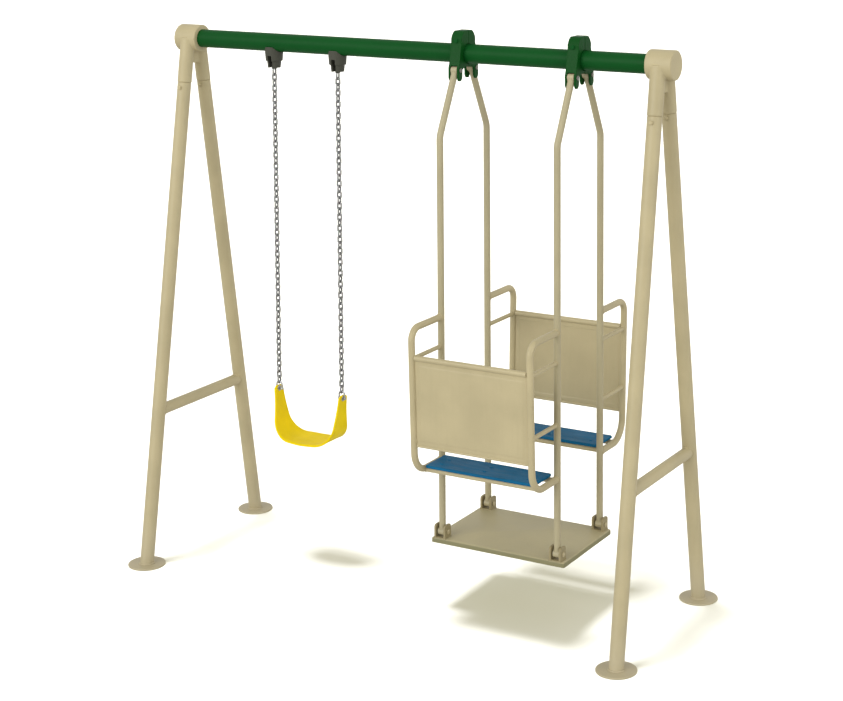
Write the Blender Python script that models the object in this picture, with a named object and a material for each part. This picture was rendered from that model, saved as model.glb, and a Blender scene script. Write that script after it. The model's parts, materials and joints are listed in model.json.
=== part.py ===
"""Glider swing: an A-frame with a face-to-face glider and a belt swing.

Units are metres. +X runs along the top beam towards the glider, -Y is the front, +Z is up.
The origin is on the ground, below the middle of the beam.
"""
import math

import bmesh
import bpy
from mathutils import Matrix, Vector

# ---------------------------------------------------------------- driving dimensions
GAP = 0.0003                    # clearance left between pieces that touch
PIPE_FACETS = 10                # sides of a thin pipe
LEG_FACETS = 16
BEAM_FACETS = 20
PIN_FACETS = 10

BEAM_Z = 2.300                  # height of the beam's axis
BEAM_R = 0.040
BEAM_WALL = 0.003
BEAM_HALF = 1.196               # half the beam's length

FRAME_X = 1.149                 # each A-frame's plane
LEG_R = 0.030
LEG_WALL = 0.003
LEG_SPREAD_GROUND = 0.397       # leg axis to the mid-plane, at the ground
LEG_SPREAD_TOP = 0.037          # the same, at the beam's axis
LEG_TOP_Z = 2.105               # where a leg meets the corner casting
FOOT_R = 0.081
FOOT_THICK = 0.007
BRACE_Z = 0.668
BRACE_R = 0.025
BRACE_WALL = 0.0025

CASTING_R = 0.060
CASTING_INNER_X = 1.097
CASTING_OUTER_X = 1.210
CASTING_DOME = 0.006
CASTING_CHAMFER = 0.012         # how much smaller the end face's radius is
CASTING_WEB_HALF = 0.014        # half the thickness of the web between the stubs
CASTING_WEB_Z = 2.190
STUB_R = 0.0315
SPIGOT_R = 0.026
SPIGOT_END_Z = 2.040
SPIGOT_BORE_R = 0.0205
SPIGOT_BORE_TOP_Z = 2.215
LEG_BOLT_Z = 2.085
BOLT_R = 0.005
BOLT_HOLE_R = 0.0056
BOLT_HEAD_R = 0.0092
BOLT_HEAD_THICK = 0.006
NUT_THICK = 0.008

ROD_X = (0.251, 0.787)          # the two planes of glider rods
ROD_R = 0.014
ROD_WALL = 0.0025
ROD_SPREAD = 0.191              # rod to the mid-plane, along its straight part
ROD_BEND_Z = 1.980
ROD_BEND_RADIUS = 0.070
TOP_PIVOT_SPREAD = 0.065
TOP_PIVOT_Z = 2.236
BOTTOM_PIVOT_Z = 0.330
EYE_R = 0.0165
EYE_HALF_WIDTH = 0.0145
PIN_R = 0.006
PIN_HOLE_R = 0.0066
PIN_HEAD_R = 0.0095
PIN_HEAD_THICK = 0.0045
DRAIN_ABOVE_PIN = 0.045         # drain hole's height above a rod's bottom pin
DRAIN_R = 0.003

CLAMP_HALF_WIDTH = 0.025
CLAMP_EAR_INNER = 0.0155
CLAMP_POCKET_Y = (0.0455, 0.095)
CLAMP_POCKET_TOP_Z = 2.2555
CLAMP_BOLT_SEAT = 0.057         # flat that a bolt head sits on, from the mid-plane
CLAMP_BOLT_Z = 2.356

SEAT_SPREAD_TOP = 0.422         # backrest uprights to the mid-plane; they lean outwards
SEAT_SPREAD_BOTTOM = 0.402
ARM_TOP_Z = 1.235
ARM_BOTTOM_Z = 0.637
ARM_TOP_BEND = 0.050
ARM_BOTTOM_BEND = 0.090
ARM_BRACE_Z = (0.860, 1.113)
ARM_BRACE_R = 0.009
BACKREST_TOP_Z = 1.118
BACKREST_BOTTOM_Z = 0.755
BACKREST_SHEET = 0.0025
BACKREST_ROLL_R = 0.0115
BACKREST_HEM_R = 0.005
BOARD_X = (0.268, 0.768)
BOARD_Y = (0.200, 0.354)
BOARD_THICK = 0.012
RAIL_R = 0.011
RAIL_WALL = 0.002
RAIL_Y = (0.214, 0.332)
STRAP_X = (0.320, 0.518, 0.716)
STRAP_HALF_WIDTH = 0.012
STRAP_THICK = 0.004

DECK_X = (0.211, 0.829)
DECK_HALF_Y = 0.215
DECK_TOP_Z = 0.305
DECK_DEPTH = 0.021
DECK_SHEET = 0.003
CLEVIS_HALF_Y = 0.024
CLEVIS_BASE = 0.0035
CLEVIS_EAR_INNER = 0.0180
CLEVIS_EAR_OUTER = 0.0265
CLEVIS_TOP_Z = 0.361
CLEVIS_CORNER = 0.012
CLOSURE_SLACK = 0.0060          # how far the rear bottom pins drift inwards at full swing

CHAIN_X = (-0.706, -0.373)
CHAIN_R = 0.006
CHAIN_END_Z = 0.777
HANGER_TOP_R = 0.0415
HANGER_WAIST_R = 0.037
HANGER_WAIST_Z = 2.220
HANGER_NOSE_R = 0.0315
HANGER_BOTTOM_R = 0.028
HANGER_BOTTOM_Z = 2.190
HANGER_SLOT_HALF = 0.009
HANGER_SLOT_TOP_Z = 2.242
HANGER_PIN_Z = 2.222
HANGER_PIN_R = 0.005
HANGER_PIN_HOLE_R = 0.0056
HANGER_PIN_REACH = 0.024
YOKE_HALF_WIDTH = 0.0078
YOKE_EYE_R = 0.013
YOKE_SHANK = (0.0068, 0.010)     # half its width along the beam and across it
YOKE_END_Z = 2.184

BELT_HALF = 0.172               # belt's middle surface to its centre line, at the ends
BELT_LEAN = 0.026               # how far the wings lean inwards on their way down
BELT_THICK = 0.009
BELT_TOP_Z = 0.769
BELT_BOTTOM_Z = 0.549
BELT_BEND_RADIUS = 0.090
BELT_SAG = 0.005
BELT_HALF_DEPTH_END = 0.031
BELT_HALF_DEPTH_MID = 0.090
BELT_PIVOT_Z = 0.755
BELT_HOLE_R = 0.0055

SIDES = {"front": -1, "rear": 1}
HANDS = {"left": 0, "right": 1}


# ---------------------------------------------------------------- scene and materials
def clear_scene():
    for obj in list(bpy.data.objects):
        bpy.data.objects.remove(obj, do_unlink=True)


def material(name, color, roughness, metallic):
    mat = bpy.data.materials.new(name)
    mat.use_nodes = True
    shader = mat.node_tree.nodes["Principled BSDF"]
    shader.inputs["Base Color"].default_value = (*color, 1.0)
    shader.inputs["Roughness"].default_value = roughness
    shader.inputs["Metallic"].default_value = metallic
    return mat


def make_materials():
    return {
        "beige": material("beige_powder_coat", (0.56, 0.48, 0.29), 0.45, 0.0),
        "green": material("green_powder_coat", (0.013, 0.12, 0.025), 0.40, 0.0),
        "blue": material("blue_seat_board", (0.006, 0.13, 0.33), 0.45, 0.0),
        "yellow": material("yellow_belt", (0.85, 0.60, 0.01), 0.50, 0.0),
        "black": material("black_hanger", (0.02, 0.02, 0.02), 0.50, 0.0),
        "zinc": material("zinc_plated_steel", (0.55, 0.56, 0.57), 0.35, 1.0),
    }


# ---------------------------------------------------------------- mesh helpers
def signed_volume(bm):
    total = 0.0
    for face in bm.faces:
        anchor = face.verts[0].co
        for a, b in zip(face.verts[1:], face.verts[2:]):
            total += anchor.dot(a.co.cross(b.co))
    return total / 6.0


def finish_object(name, bm, mat, origin=(0.0, 0.0, 0.0), parent=None):
    """Turn a bmesh in world coordinates into an object whose origin is at the given point."""
    bmesh.ops.recalc_face_normals(bm, faces=bm.faces)
    if signed_volume(bm) < 0.0:
        bmesh.ops.reverse_faces(bm, faces=bm.faces)
    bmesh.ops.translate(bm, verts=bm.verts, vec=-Vector(origin))
    mesh = bpy.data.meshes.new(name)
    bm.to_mesh(mesh)
    bm.free()
    mesh.shade_smooth()
    mesh.set_sharp_from_angle(angle=math.radians(35.0))
    mesh.materials.append(mat)
    obj = bpy.data.objects.new(name, mesh)
    bpy.context.scene.collection.objects.link(obj)
    obj.location = origin
    if parent is not None:
        obj.parent = parent
        obj.location = Vector(origin) - parent.location
    return obj


def helper_object(name, bm):
    """A cutter or an added shape: it is used by modifiers and isn't a piece itself."""
    obj = finish_object(name, bm, None)
    obj.hide_render = True
    obj.display_type = "WIRE"
    return obj


def combine(obj, operation, *shapes):
    for index, bm in enumerate(shapes):
        helper = helper_object(f"{obj.name}_{operation.lower()}_{index}_{len(obj.modifiers)}", bm)
        modifier = obj.modifiers.new(helper.name, "BOOLEAN")
        modifier.operation = operation
        modifier.solver = "EXACT"
        modifier.object = helper
    return obj


def cut(obj, *shapes):
    return combine(obj, "DIFFERENCE", *shapes)


def fuse(obj, *shapes):
    return combine(obj, "UNION", *shapes)


def clear_radius(radius, segments):
    """Radius of a faceted hole whose flats stay GAP away from a round bar of this radius."""
    return (radius + GAP) / math.cos(math.pi / segments)


def bridge(bm, ring_a, ring_b):
    count = len(ring_a)
    for i in range(count):
        j = (i + 1) % count
        bm.faces.new((ring_a[i], ring_a[j], ring_b[j], ring_b[i]))


def cylinder(start, end, radius, segments=16, end_radius=None):
    """Solid round bar, or a cone when end_radius is given."""
    start = Vector(start)
    end = Vector(end)
    axis = end - start
    bm = bmesh.new()
    bmesh.ops.create_cone(bm, cap_ends=True, segments=segments, radius1=radius,
                          radius2=radius if end_radius is None else end_radius,
                          depth=axis.length)
    turn = Vector((0, 0, 1)).rotation_difference(axis).to_matrix().to_4x4()
    bmesh.ops.transform(bm, verts=bm.verts, matrix=Matrix.Translation((start + end) / 2) @ turn)
    return bm


def box(low, high):
    low = Vector(low)
    high = Vector(high)
    bm = bmesh.new()
    bmesh.ops.create_cube(bm, size=1.0)
    scale = Matrix.Diagonal((*(high - low), 1.0))
    bmesh.ops.transform(bm, verts=bm.verts, matrix=Matrix.Translation((low + high) / 2) @ scale)
    return bm


def extrude_along_x(profile, x_low, x_high):
    """Prism from a closed outline of (y, z) points."""
    bm = bmesh.new()
    rings = [[bm.verts.new((x, y, z)) for y, z in profile] for x in (x_low, x_high)]
    bm.faces.new(rings[0])
    bm.faces.new(reversed(rings[1]))
    bridge(bm, rings[0], rings[1])
    return bm


def rounded_path(corners, radius, steps):
    """Points along a polyline whose inner corners are replaced by arcs."""
    corners = [Vector(c) for c in corners]
    points = [corners[0]]
    for before, corner, after in zip(corners, corners[1:], corners[2:]):
        to_before = (before - corner).normalized()
        to_after = (after - corner).normalized()
        half = to_before.angle(to_after) / 2
        centre = corner + (to_before + to_after).normalized() * radius / math.sin(half)
        arc_start = corner + to_before * radius / math.tan(half) - centre
        arc_end = corner + to_after * radius / math.tan(half) - centre
        sweep = arc_start.rotation_difference(arc_end)
        for step in range(steps + 1):
            turn = Matrix.Rotation(sweep.angle * step / steps, 3, sweep.axis)
            points.append(centre + turn @ arc_start)
    points.append(corners[-1])
    return points


def path_frames(points, side):
    """For each point, the in-plane direction across the path, stretched at mitres."""
    frames = []
    for i, point in enumerate(points):
        into = (point - points[i - 1]).normalized() if i else None
        out = (points[i + 1] - point).normalized() if i + 1 < len(points) else None
        into = into or out
        out = out or into
        tangent = (into + out).normalized()
        frames.append((point, tangent.cross(side) / tangent.dot(into)))
    return frames


def tube(points, radius, side=(1, 0, 0), wall=None, segments=PIPE_FACETS):
    """Pipe swept along a planar path; with a wall it is hollow and open at both ends."""
    side = Vector(side)
    bm = bmesh.new()
    skins = []
    for skin_radius in (radius,) if wall is None else (radius, radius - wall):
        rings = []
        for centre, across in path_frames([Vector(p) for p in points], side):
            ring = []
            for i in range(segments):
                angle = 2 * math.pi * (i + 0.5) / segments
                offset = side * math.cos(angle) + across * math.sin(angle)
                ring.append(bm.verts.new(centre + offset * skin_radius))
            rings.append(ring)
        for ring_a, ring_b in zip(rings, rings[1:]):
            bridge(bm, ring_a, ring_b)
        skins.append(rings)
    for end in (0, -1):
        if wall is None:
            bm.faces.new(skins[0][end])
        else:
            bridge(bm, skins[0][end], skins[1][end])
    return bm


def level_end(bm, low_end_z):
    """Slide the lowest ring of a leaning pipe along the pipe until it is level."""
    lower = [v for v in bm.verts if v.co.z < (LEG_TOP_Z + low_end_z) / 2]
    for vert in lower:
        partner = max((e.other_vert(vert) for e in vert.link_edges), key=lambda v: v.co.z)
        direction = vert.co - partner.co
        vert.co = partner.co + direction * (low_end_z - partner.co.z) / direction.z
    return bm


# ---------------------------------------------------------------- the fixed frame
def leg_point(side, z, x):
    """Point on a leg's axis; side is -1 for the front leg and 1 for the rear one."""
    lean = (LEG_SPREAD_GROUND - LEG_SPREAD_TOP) / BEAM_Z
    return Vector((x, side * (LEG_SPREAD_GROUND - lean * z), z))


def frame_plane(hand):
    return FRAME_X * (2 * HANDS[hand] - 1)


def build_beam(mats):
    ends = [(-BEAM_HALF, 0, BEAM_Z), (BEAM_HALF, 0, BEAM_Z)]
    finish_object("beam", tube(ends, BEAM_R, (0, 1, 0), BEAM_WALL, BEAM_FACETS), mats["green"],
                  (0, 0, BEAM_Z))


def build_corner_casting(hand, mats):
    sign = 2 * HANDS[hand] - 1
    x = frame_plane(hand)
    centre = (x, 0, BEAM_Z)
    inner = (sign * CASTING_INNER_X, 0, BEAM_Z)
    shoulder = (sign * (CASTING_OUTER_X - CASTING_DOME), 0, BEAM_Z)
    casting = finish_object(f"corner_casting_{hand}", cylinder(inner, shoulder, CASTING_R, BEAM_FACETS),
                            mats["beige"], centre)
    dome_start = (sign * (CASTING_OUTER_X - 2 * CASTING_DOME), 0, BEAM_Z)
    dome_end = (sign * CASTING_OUTER_X, 0, BEAM_Z)
    fuse(casting, cylinder(dome_start, dome_end, CASTING_R, BEAM_FACETS,
                           CASTING_R - CASTING_CHAMFER))
    web = [leg_point(side, z, 0).yz for side, z in ((-1, BEAM_Z), (-1, CASTING_WEB_Z),
                                                   (1, CASTING_WEB_Z), (1, BEAM_Z))]
    fuse(casting, extrude_along_x(web, x - CASTING_WEB_HALF, x + CASTING_WEB_HALF))
    for side in SIDES.values():
        top = leg_point(side, BEAM_Z, x)
        fuse(casting,
             cylinder(leg_point(side, LEG_TOP_Z, x), top, STUB_R, LEG_FACETS),
             cylinder(leg_point(side, SPIGOT_END_Z, x), top, SPIGOT_R, LEG_FACETS))
    bore_end = (sign * (BEAM_HALF + GAP), 0, BEAM_Z)
    mouth = (sign * (CASTING_INNER_X - 0.02), 0, BEAM_Z)
    cut(casting, cylinder(mouth, bore_end, clear_radius(BEAM_R, BEAM_FACETS), BEAM_FACETS))
    for side in SIDES.values():
        cut(casting, leg_bolt_bore(side, x),
            cylinder(leg_point(side, SPIGOT_END_Z - 0.01, x), leg_point(side, SPIGOT_BORE_TOP_Z, x),
                     SPIGOT_BORE_R, LEG_FACETS))


def leg_bolt_bore(side, x):
    middle = leg_point(side, LEG_BOLT_Z, x)
    reach = Vector((0, 0.045, 0))
    return cylinder(middle - reach, middle + reach, BOLT_HOLE_R, PIN_FACETS)


def build_leg(side_name, hand, mats):
    side = SIDES[side_name]
    x = frame_plane(hand)
    top = leg_point(side, LEG_TOP_Z - GAP * 2, x)
    foot_z = FOOT_THICK + GAP
    pipe = level_end(tube([leg_point(side, foot_z, x), top], LEG_R, (1, 0, 0), LEG_WALL, LEG_FACETS),
                     foot_z)
    leg = finish_object(f"leg_{side_name}_{hand}", pipe, mats["beige"], top)
    cut(leg, leg_bolt_bore(side, x))


def build_foot_plate(side_name, hand, mats):
    centre = leg_point(SIDES[side_name], 0, frame_plane(hand))
    top = centre + Vector((0, 0, FOOT_THICK))
    finish_object(f"foot_plate_{side_name}_{hand}", cylinder(centre, top, FOOT_R, 24),
                  mats["beige"], centre)


def build_leg_bolt(side_name, hand, mats):
    """Hexagon bolt and nut through the leg and the spigot inside it."""
    side = SIDES[side_name]
    middle = leg_point(side, LEG_BOLT_Z, frame_plane(hand))
    seat = LEG_R / math.cos(math.atan2(LEG_SPREAD_GROUND - LEG_SPREAD_TOP, BEAM_Z))
    seat += BOLT_R * 0.4
    out = Vector((0, side, 0))
    bolt = finish_object(f"leg_bolt_{side_name}_{hand}",
                         cylinder(middle - out * (seat + NUT_THICK + 0.002),
                                  middle + out * (seat + 0.001), BOLT_R, PIN_FACETS),
                         mats["beige"], middle)
    fuse(bolt,
         cylinder(middle + out * seat, middle + out * (seat + BOLT_HEAD_THICK), BOLT_HEAD_R, 6),
         cylinder(middle - out * (seat + NUT_THICK), middle - out * seat, BOLT_HEAD_R, 6))


def build_cross_brace(hand, mats):
    x = frame_plane(hand)
    front = leg_point(-1, BRACE_Z, x)
    rear = leg_point(1, BRACE_Z, x)
    brace = finish_object(f"cross_brace_{hand}",
                          tube([front, rear], BRACE_R, (1, 0, 0), BRACE_WALL, 12),
                          mats["beige"], (x, 0, BRACE_Z))
    for side in SIDES.values():
        cut(brace, cylinder(leg_point(side, BRACE_Z - 0.15, x), leg_point(side, BRACE_Z + 0.15, x),
                            clear_radius(LEG_R, LEG_FACETS), LEG_FACETS))


# ---------------------------------------------------------------- glider clamps on the beam
def clamp_outline(side):
    """Bell-shaped outline of a half clamp: a lug above the beam, an ear below it."""
    seat = CLAMP_BOLT_SEAT
    half = [(GAP, 2.396), (0.031, 2.396), (0.041, 2.389), (0.049, 2.380), (0.0545, 2.370),
            (seat, 2.366), (seat, 2.346), (0.061, 2.330), (0.067, 2.300), (0.073, 2.268),
            (0.081, 2.245), (0.081, 2.204), (0.073, 2.192), (0.058, 2.192), (0.049, 2.204),
            (0.047, 2.238), (0.022, 2.250), (GAP, 2.250)]
    return [(side * y, z) for y, z in half]


def beam_bore(x, reach):
    """Cutter that leaves a clearance round the beam."""
    return cylinder((x - reach, 0, BEAM_Z), (x + reach, 0, BEAM_Z), clear_radius(BEAM_R, BEAM_FACETS),
                    BEAM_FACETS)


def build_clamp(side_name, hand, mats):
    side = SIDES[side_name]
    x = ROD_X[HANDS[hand]]
    pivot_y = side * TOP_PIVOT_SPREAD
    block = extrude_along_x(clamp_outline(side), x - CLAMP_HALF_WIDTH, x + CLAMP_HALF_WIDTH)
    clamp = finish_object(f"clamp_{hand}_{side_name}_half", block, mats["green"],
                          (x, 0, BEAM_Z))
    pocket_y = sorted(side * y for y in CLAMP_POCKET_Y)
    wide = CLAMP_HALF_WIDTH + 0.01
    cut(clamp,
        beam_bore(x, wide),
        box((x - CLAMP_EAR_INNER, pocket_y[0], 2.170),
            (x + CLAMP_EAR_INNER, pocket_y[1], CLAMP_POCKET_TOP_Z)),
        cylinder((x - wide, pivot_y, TOP_PIVOT_Z), (x + wide, pivot_y, TOP_PIVOT_Z),
                 PIN_HOLE_R, PIN_FACETS),
        cylinder((x, side * (CLAMP_BOLT_SEAT + 0.01), CLAMP_BOLT_Z),
                 (x, -side * 0.01, CLAMP_BOLT_Z), BOLT_HOLE_R, PIN_FACETS))


def build_clamp_bolt(hand, mats):
    x = ROD_X[HANDS[hand]]
    seat = CLAMP_BOLT_SEAT + GAP
    bolt = finish_object(f"clamp_bolt_{hand}",
                         cylinder((x, -seat - 0.001, CLAMP_BOLT_Z),
                                  (x, seat + NUT_THICK + 0.002, CLAMP_BOLT_Z),
                                  BOLT_R, PIN_FACETS), mats["green"], (x, 0, CLAMP_BOLT_Z))
    fuse(bolt,
         cylinder((x, -seat - BOLT_HEAD_THICK, CLAMP_BOLT_Z), (x, -seat, CLAMP_BOLT_Z),
                  BOLT_HEAD_R, 6),
         cylinder((x, seat, CLAMP_BOLT_Z), (x, seat + NUT_THICK, CLAMP_BOLT_Z), BOLT_HEAD_R, 6))


# ---------------------------------------------------------------- one half of the glider
def build_rod(side_name, hand, parent, mats):
    """Bent pipe with a bored eye at each end and a drain hole near the bottom."""
    side = SIDES[side_name]
    x = ROD_X[HANDS[hand]]
    top = Vector((x, side * TOP_PIVOT_SPREAD, TOP_PIVOT_Z))
    bottom = Vector((x, side * ROD_SPREAD, BOTTOM_PIVOT_Z))
    bend = Vector((x, side * ROD_SPREAD, ROD_BEND_Z))
    rod = finish_object(f"glider_rod_{side_name}_{hand}",
                        tube(rounded_path([bottom, bend, top], ROD_BEND_RADIUS, 3), ROD_R,
                             (1, 0, 0), ROD_WALL), mats["beige"], top, parent)
    half = Vector((EYE_HALF_WIDTH, 0, 0))
    past = Vector((0.03, 0, 0))
    for end in (top, bottom):
        fuse(rod, cylinder(end - half, end + half, EYE_R, 14))
    for end in (top, bottom):
        cut(rod, cylinder(end - past, end + past, PIN_HOLE_R, PIN_FACETS))
    drain = bottom + Vector((0, 0, DRAIN_ABOVE_PIN))
    cut(rod, cylinder(drain, drain - Vector((0, side * 0.02, 0)), DRAIN_R, 6))


def seat_back_spread(z):
    """Distance from the mid-plane to the middle of a leaning upright."""
    rise = (z - ARM_BOTTOM_Z) / (ARM_TOP_Z - ARM_BOTTOM_Z)
    return SEAT_SPREAD_BOTTOM + (SEAT_SPREAD_TOP - SEAT_SPREAD_BOTTOM) * rise


def arm_path(side, x):
    """Middle of a side frame's pipe, from the rod out, down and back to the rod."""
    root_y = side * (ROD_SPREAD + 0.004)
    corners = [(x, root_y, ARM_TOP_Z), (x, side * SEAT_SPREAD_TOP, ARM_TOP_Z),
               (x, side * SEAT_SPREAD_BOTTOM, ARM_BOTTOM_Z), (x, root_y, ARM_BOTTOM_Z)]
    upper = rounded_path(corners[:3], ARM_TOP_BEND, 4)[:-1]
    return upper + rounded_path(corners[1:], ARM_BOTTOM_BEND, 4)[1:]


def build_seat_arm(side_name, hand, parent, mats):
    """C-shaped side of a seat, coped to the rod, with two thin bars back to the rod."""
    side = SIDES[side_name]
    x = ROD_X[HANDS[hand]]
    rod_y = side * ROD_SPREAD
    arm = finish_object(f"seat_arm_{side_name}_{hand}",
                        tube(arm_path(side, x), ROD_R, (1, 0, 0), ROD_WALL),
                        mats["beige"], (x, rod_y, ARM_BOTTOM_Z), parent)
    for z in ARM_BRACE_Z:
        far_y = side * (seat_back_spread(z) - 0.005)
        fuse(arm, cylinder((x, rod_y + side * 0.004, z), (x, far_y, z), ARM_BRACE_R, 8))
    cut(arm, cylinder((x, rod_y, 0.55), (x, rod_y, 1.30), clear_radius(ROD_R, PIPE_FACETS),
                      PIPE_FACETS))


def backrest_outline(side):
    """Sheet edge: a rolled tube at the top and a small hem at the bottom."""
    half_sheet = BACKREST_SHEET / 2
    outline = []
    for centre_z, radius, start in ((BACKREST_TOP_Z, BACKREST_ROLL_R, -90.0),
                                    (BACKREST_BOTTOM_Z, BACKREST_HEM_R, 90.0)):
        neck = math.degrees(math.asin(half_sheet / radius))
        for step in range(11):
            angle = math.radians(start + neck + (360.0 - 2 * neck) * step / 10)
            outline.append((side * (seat_back_spread(centre_z) + radius * math.cos(angle)),
                            centre_z + radius * math.sin(angle)))
    return outline


def between_arms():
    return ROD_X[0] + ROD_R + GAP, ROD_X[1] - ROD_R - GAP


def build_backrest(side_name, parent, mats):
    side = SIDES[side_name]
    top = ((ROD_X[0] + ROD_X[1]) / 2, side * seat_back_spread(BACKREST_TOP_Z), BACKREST_TOP_Z)
    finish_object(f"backrest_{side_name}", extrude_along_x(backrest_outline(side), *between_arms()),
                  mats["beige"], top, parent)


def build_seat_rails(side_name, parent, mats):
    """Two pipes between the side frames, tied by three flat straps."""
    side = SIDES[side_name]
    low_x, high_x = between_arms()
    pipes = []
    for rail_y in RAIL_Y:
        ends = [(low_x, side * rail_y, ARM_BOTTOM_Z), (high_x, side * rail_y, ARM_BOTTOM_Z)]
        pipes.append(tube(ends, RAIL_R, (0, 1, 0), RAIL_WALL))
    rails = finish_object(f"seat_rails_{side_name}", pipes[0], mats["beige"],
                          (low_x, side * RAIL_Y[0], ARM_BOTTOM_Z), parent)
    strap_y = sorted(side * y for y in RAIL_Y)
    straps = [box((x - STRAP_HALF_WIDTH, strap_y[0] + 0.002, ARM_BOTTOM_Z - STRAP_THICK / 2),
                  (x + STRAP_HALF_WIDTH, strap_y[1] - 0.002, ARM_BOTTOM_Z + STRAP_THICK / 2))
              for x in STRAP_X]
    fuse(rails, *straps, pipes[1])


def build_seat_board(side_name, parent, mats):
    side = SIDES[side_name]
    rest_z = ARM_BOTTOM_Z + RAIL_R + GAP
    y_low, y_high = sorted(side * y for y in BOARD_Y)
    board = finish_object(f"seat_board_{side_name}",
                          box((BOARD_X[0], y_low, rest_z), (BOARD_X[1], y_high, rest_z + BOARD_THICK)),
                          mats["blue"], (BOARD_X[0], y_low, rest_z), parent)
    bevel = board.modifiers.new("rounded_edges", "BEVEL")
    bevel.width = 0.004
    bevel.segments = 2


def build_pin(name, centre, half_grip, parent, mats):
    """Pin with a round head at each end, gripping between +-half_grip."""
    centre = Vector(centre)
    shank = Vector((half_grip + GAP + 0.001, 0, 0))
    pin = finish_object(name, cylinder(centre - shank, centre + shank, PIN_R, PIN_FACETS),
                        mats["zinc"], centre, parent)
    for sign in (-1, 1):
        near = centre + Vector((sign * (half_grip + GAP), 0, 0))
        far = near + Vector((sign * PIN_HEAD_THICK, 0, 0))
        fuse(pin, cylinder(near, far, PIN_HEAD_R, PIN_FACETS))


def build_glider_half(side_name, mats):
    side = SIDES[side_name]
    pivot = bpy.data.objects.new(f"{side_name}_hanger_axis", None)
    pivot.location = (0, side * TOP_PIVOT_SPREAD, TOP_PIVOT_Z)
    bpy.context.scene.collection.objects.link(pivot)
    for hand in HANDS:
        x = ROD_X[HANDS[hand]]
        build_rod(side_name, hand, pivot, mats)
        build_seat_arm(side_name, hand, pivot, mats)
        build_pin(f"top_pin_{side_name}_{hand}", (x, side * TOP_PIVOT_SPREAD, TOP_PIVOT_Z),
                  CLAMP_HALF_WIDTH, pivot, mats)
        build_pin(f"bottom_pin_{side_name}_{hand}", (x, side * ROD_SPREAD, BOTTOM_PIVOT_Z),
                  CLEVIS_EAR_OUTER, pivot, mats)
    build_backrest(side_name, pivot, mats)
    build_seat_rails(side_name, pivot, mats)
    build_seat_board(side_name, pivot, mats)


# ---------------------------------------------------------------- the foot platform
def build_deck(parent, mats):
    """Sheet deck with its four edges folded down."""
    deck = finish_object("platform_deck",
                         box((DECK_X[0], -DECK_HALF_Y, DECK_TOP_Z - DECK_DEPTH),
                             (DECK_X[1], DECK_HALF_Y, DECK_TOP_Z)),
                         mats["beige"], parent.location, parent)
    cut(deck, box((DECK_X[0] + DECK_SHEET, -DECK_HALF_Y + DECK_SHEET, DECK_TOP_Z - 2 * DECK_DEPTH),
                  (DECK_X[1] - DECK_SHEET, DECK_HALF_Y - DECK_SHEET, DECK_TOP_Z - DECK_SHEET)))


def clevis_outline(side):
    """Ear: a plate with its two upper corners rounded."""
    centre_y = side * ROD_SPREAD
    low_z = DECK_TOP_Z + GAP
    outline = [(centre_y - CLEVIS_HALF_Y, low_z), (centre_y + CLEVIS_HALF_Y, low_z)]
    for sign, first in ((1, 0.0), (-1, 90.0)):
        corner_y = centre_y + sign * (CLEVIS_HALF_Y - CLEVIS_CORNER)
        for step in range(4):
            angle = math.radians(first + 30.0 * step)
            outline.append((corner_y + CLEVIS_CORNER * math.cos(angle),
                            CLEVIS_TOP_Z - CLEVIS_CORNER + CLEVIS_CORNER * math.sin(angle)))
    return outline


def build_clevis(side_name, hand, parent, mats):
    side = SIDES[side_name]
    x = ROD_X[HANDS[hand]]
    centre_y = side * ROD_SPREAD
    clevis = finish_object(f"clevis_{side_name}_{hand}",
                           extrude_along_x(clevis_outline(side), x - CLEVIS_EAR_OUTER,
                                           x + CLEVIS_EAR_OUTER),
                           mats["beige"], (x, centre_y, BOTTOM_PIVOT_Z), parent)
    cut(clevis,
        box((x - CLEVIS_EAR_INNER, centre_y - 0.03, DECK_TOP_Z + GAP + CLEVIS_BASE),
            (x + CLEVIS_EAR_INNER, centre_y + 0.03, 0.40)),
        pin_slot(x, centre_y, CLOSURE_SLACK if side > 0 else 0.0))


def pin_slot(x, y, slack):
    """Pin hole, drawn out towards the mid-plane by the slack."""
    outline = []
    for step in range(12):
        angle = 2 * math.pi * (step + 0.5) / 12
        drift = -slack if math.cos(angle) < 0 else 0.0
        outline.append((y + drift + PIN_HOLE_R * math.cos(angle),
                        BOTTOM_PIVOT_Z + PIN_HOLE_R * math.sin(angle)))
    return extrude_along_x(outline, x - 0.03, x + 0.03)


def build_platform(mats):
    axis = bpy.data.objects.new("platform_axis", None)
    axis.location = (0, -ROD_SPREAD, BOTTOM_PIVOT_Z)
    bpy.context.scene.collection.objects.link(axis)
    build_deck(axis, mats)
    for side_name in SIDES:
        for hand in HANDS:
            build_clevis(side_name, hand, axis, mats)


# ---------------------------------------------------------------- the belt swing
def build_hanger(hand, mats):
    """Bell-shaped housing under the beam with two cheeks that carry the pivot pin."""
    x = CHAIN_X[HANDS[hand]]
    saddle = cylinder((x, 0, HANGER_WAIST_Z), (x, 0, BEAM_Z - 0.020), HANGER_WAIST_R, LEG_FACETS,
                      HANGER_TOP_R)
    hanger = finish_object(f"swing_hanger_{hand}", saddle, mats["black"], (x, 0, HANGER_PIN_Z))
    fuse(hanger, cylinder((x, 0, HANGER_BOTTOM_Z), (x, 0, HANGER_WAIST_Z + 0.004), HANGER_BOTTOM_R,
                          LEG_FACETS, HANGER_NOSE_R))
    cut(hanger,
        beam_bore(x, 0.06),
        box((x - HANGER_SLOT_HALF, -0.06, 2.150), (x + HANGER_SLOT_HALF, 0.06, HANGER_SLOT_TOP_Z)),
        cylinder((x - 0.06, 0, HANGER_PIN_Z), (x + 0.06, 0, HANGER_PIN_Z),
                 HANGER_PIN_HOLE_R, PIN_FACETS))


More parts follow.
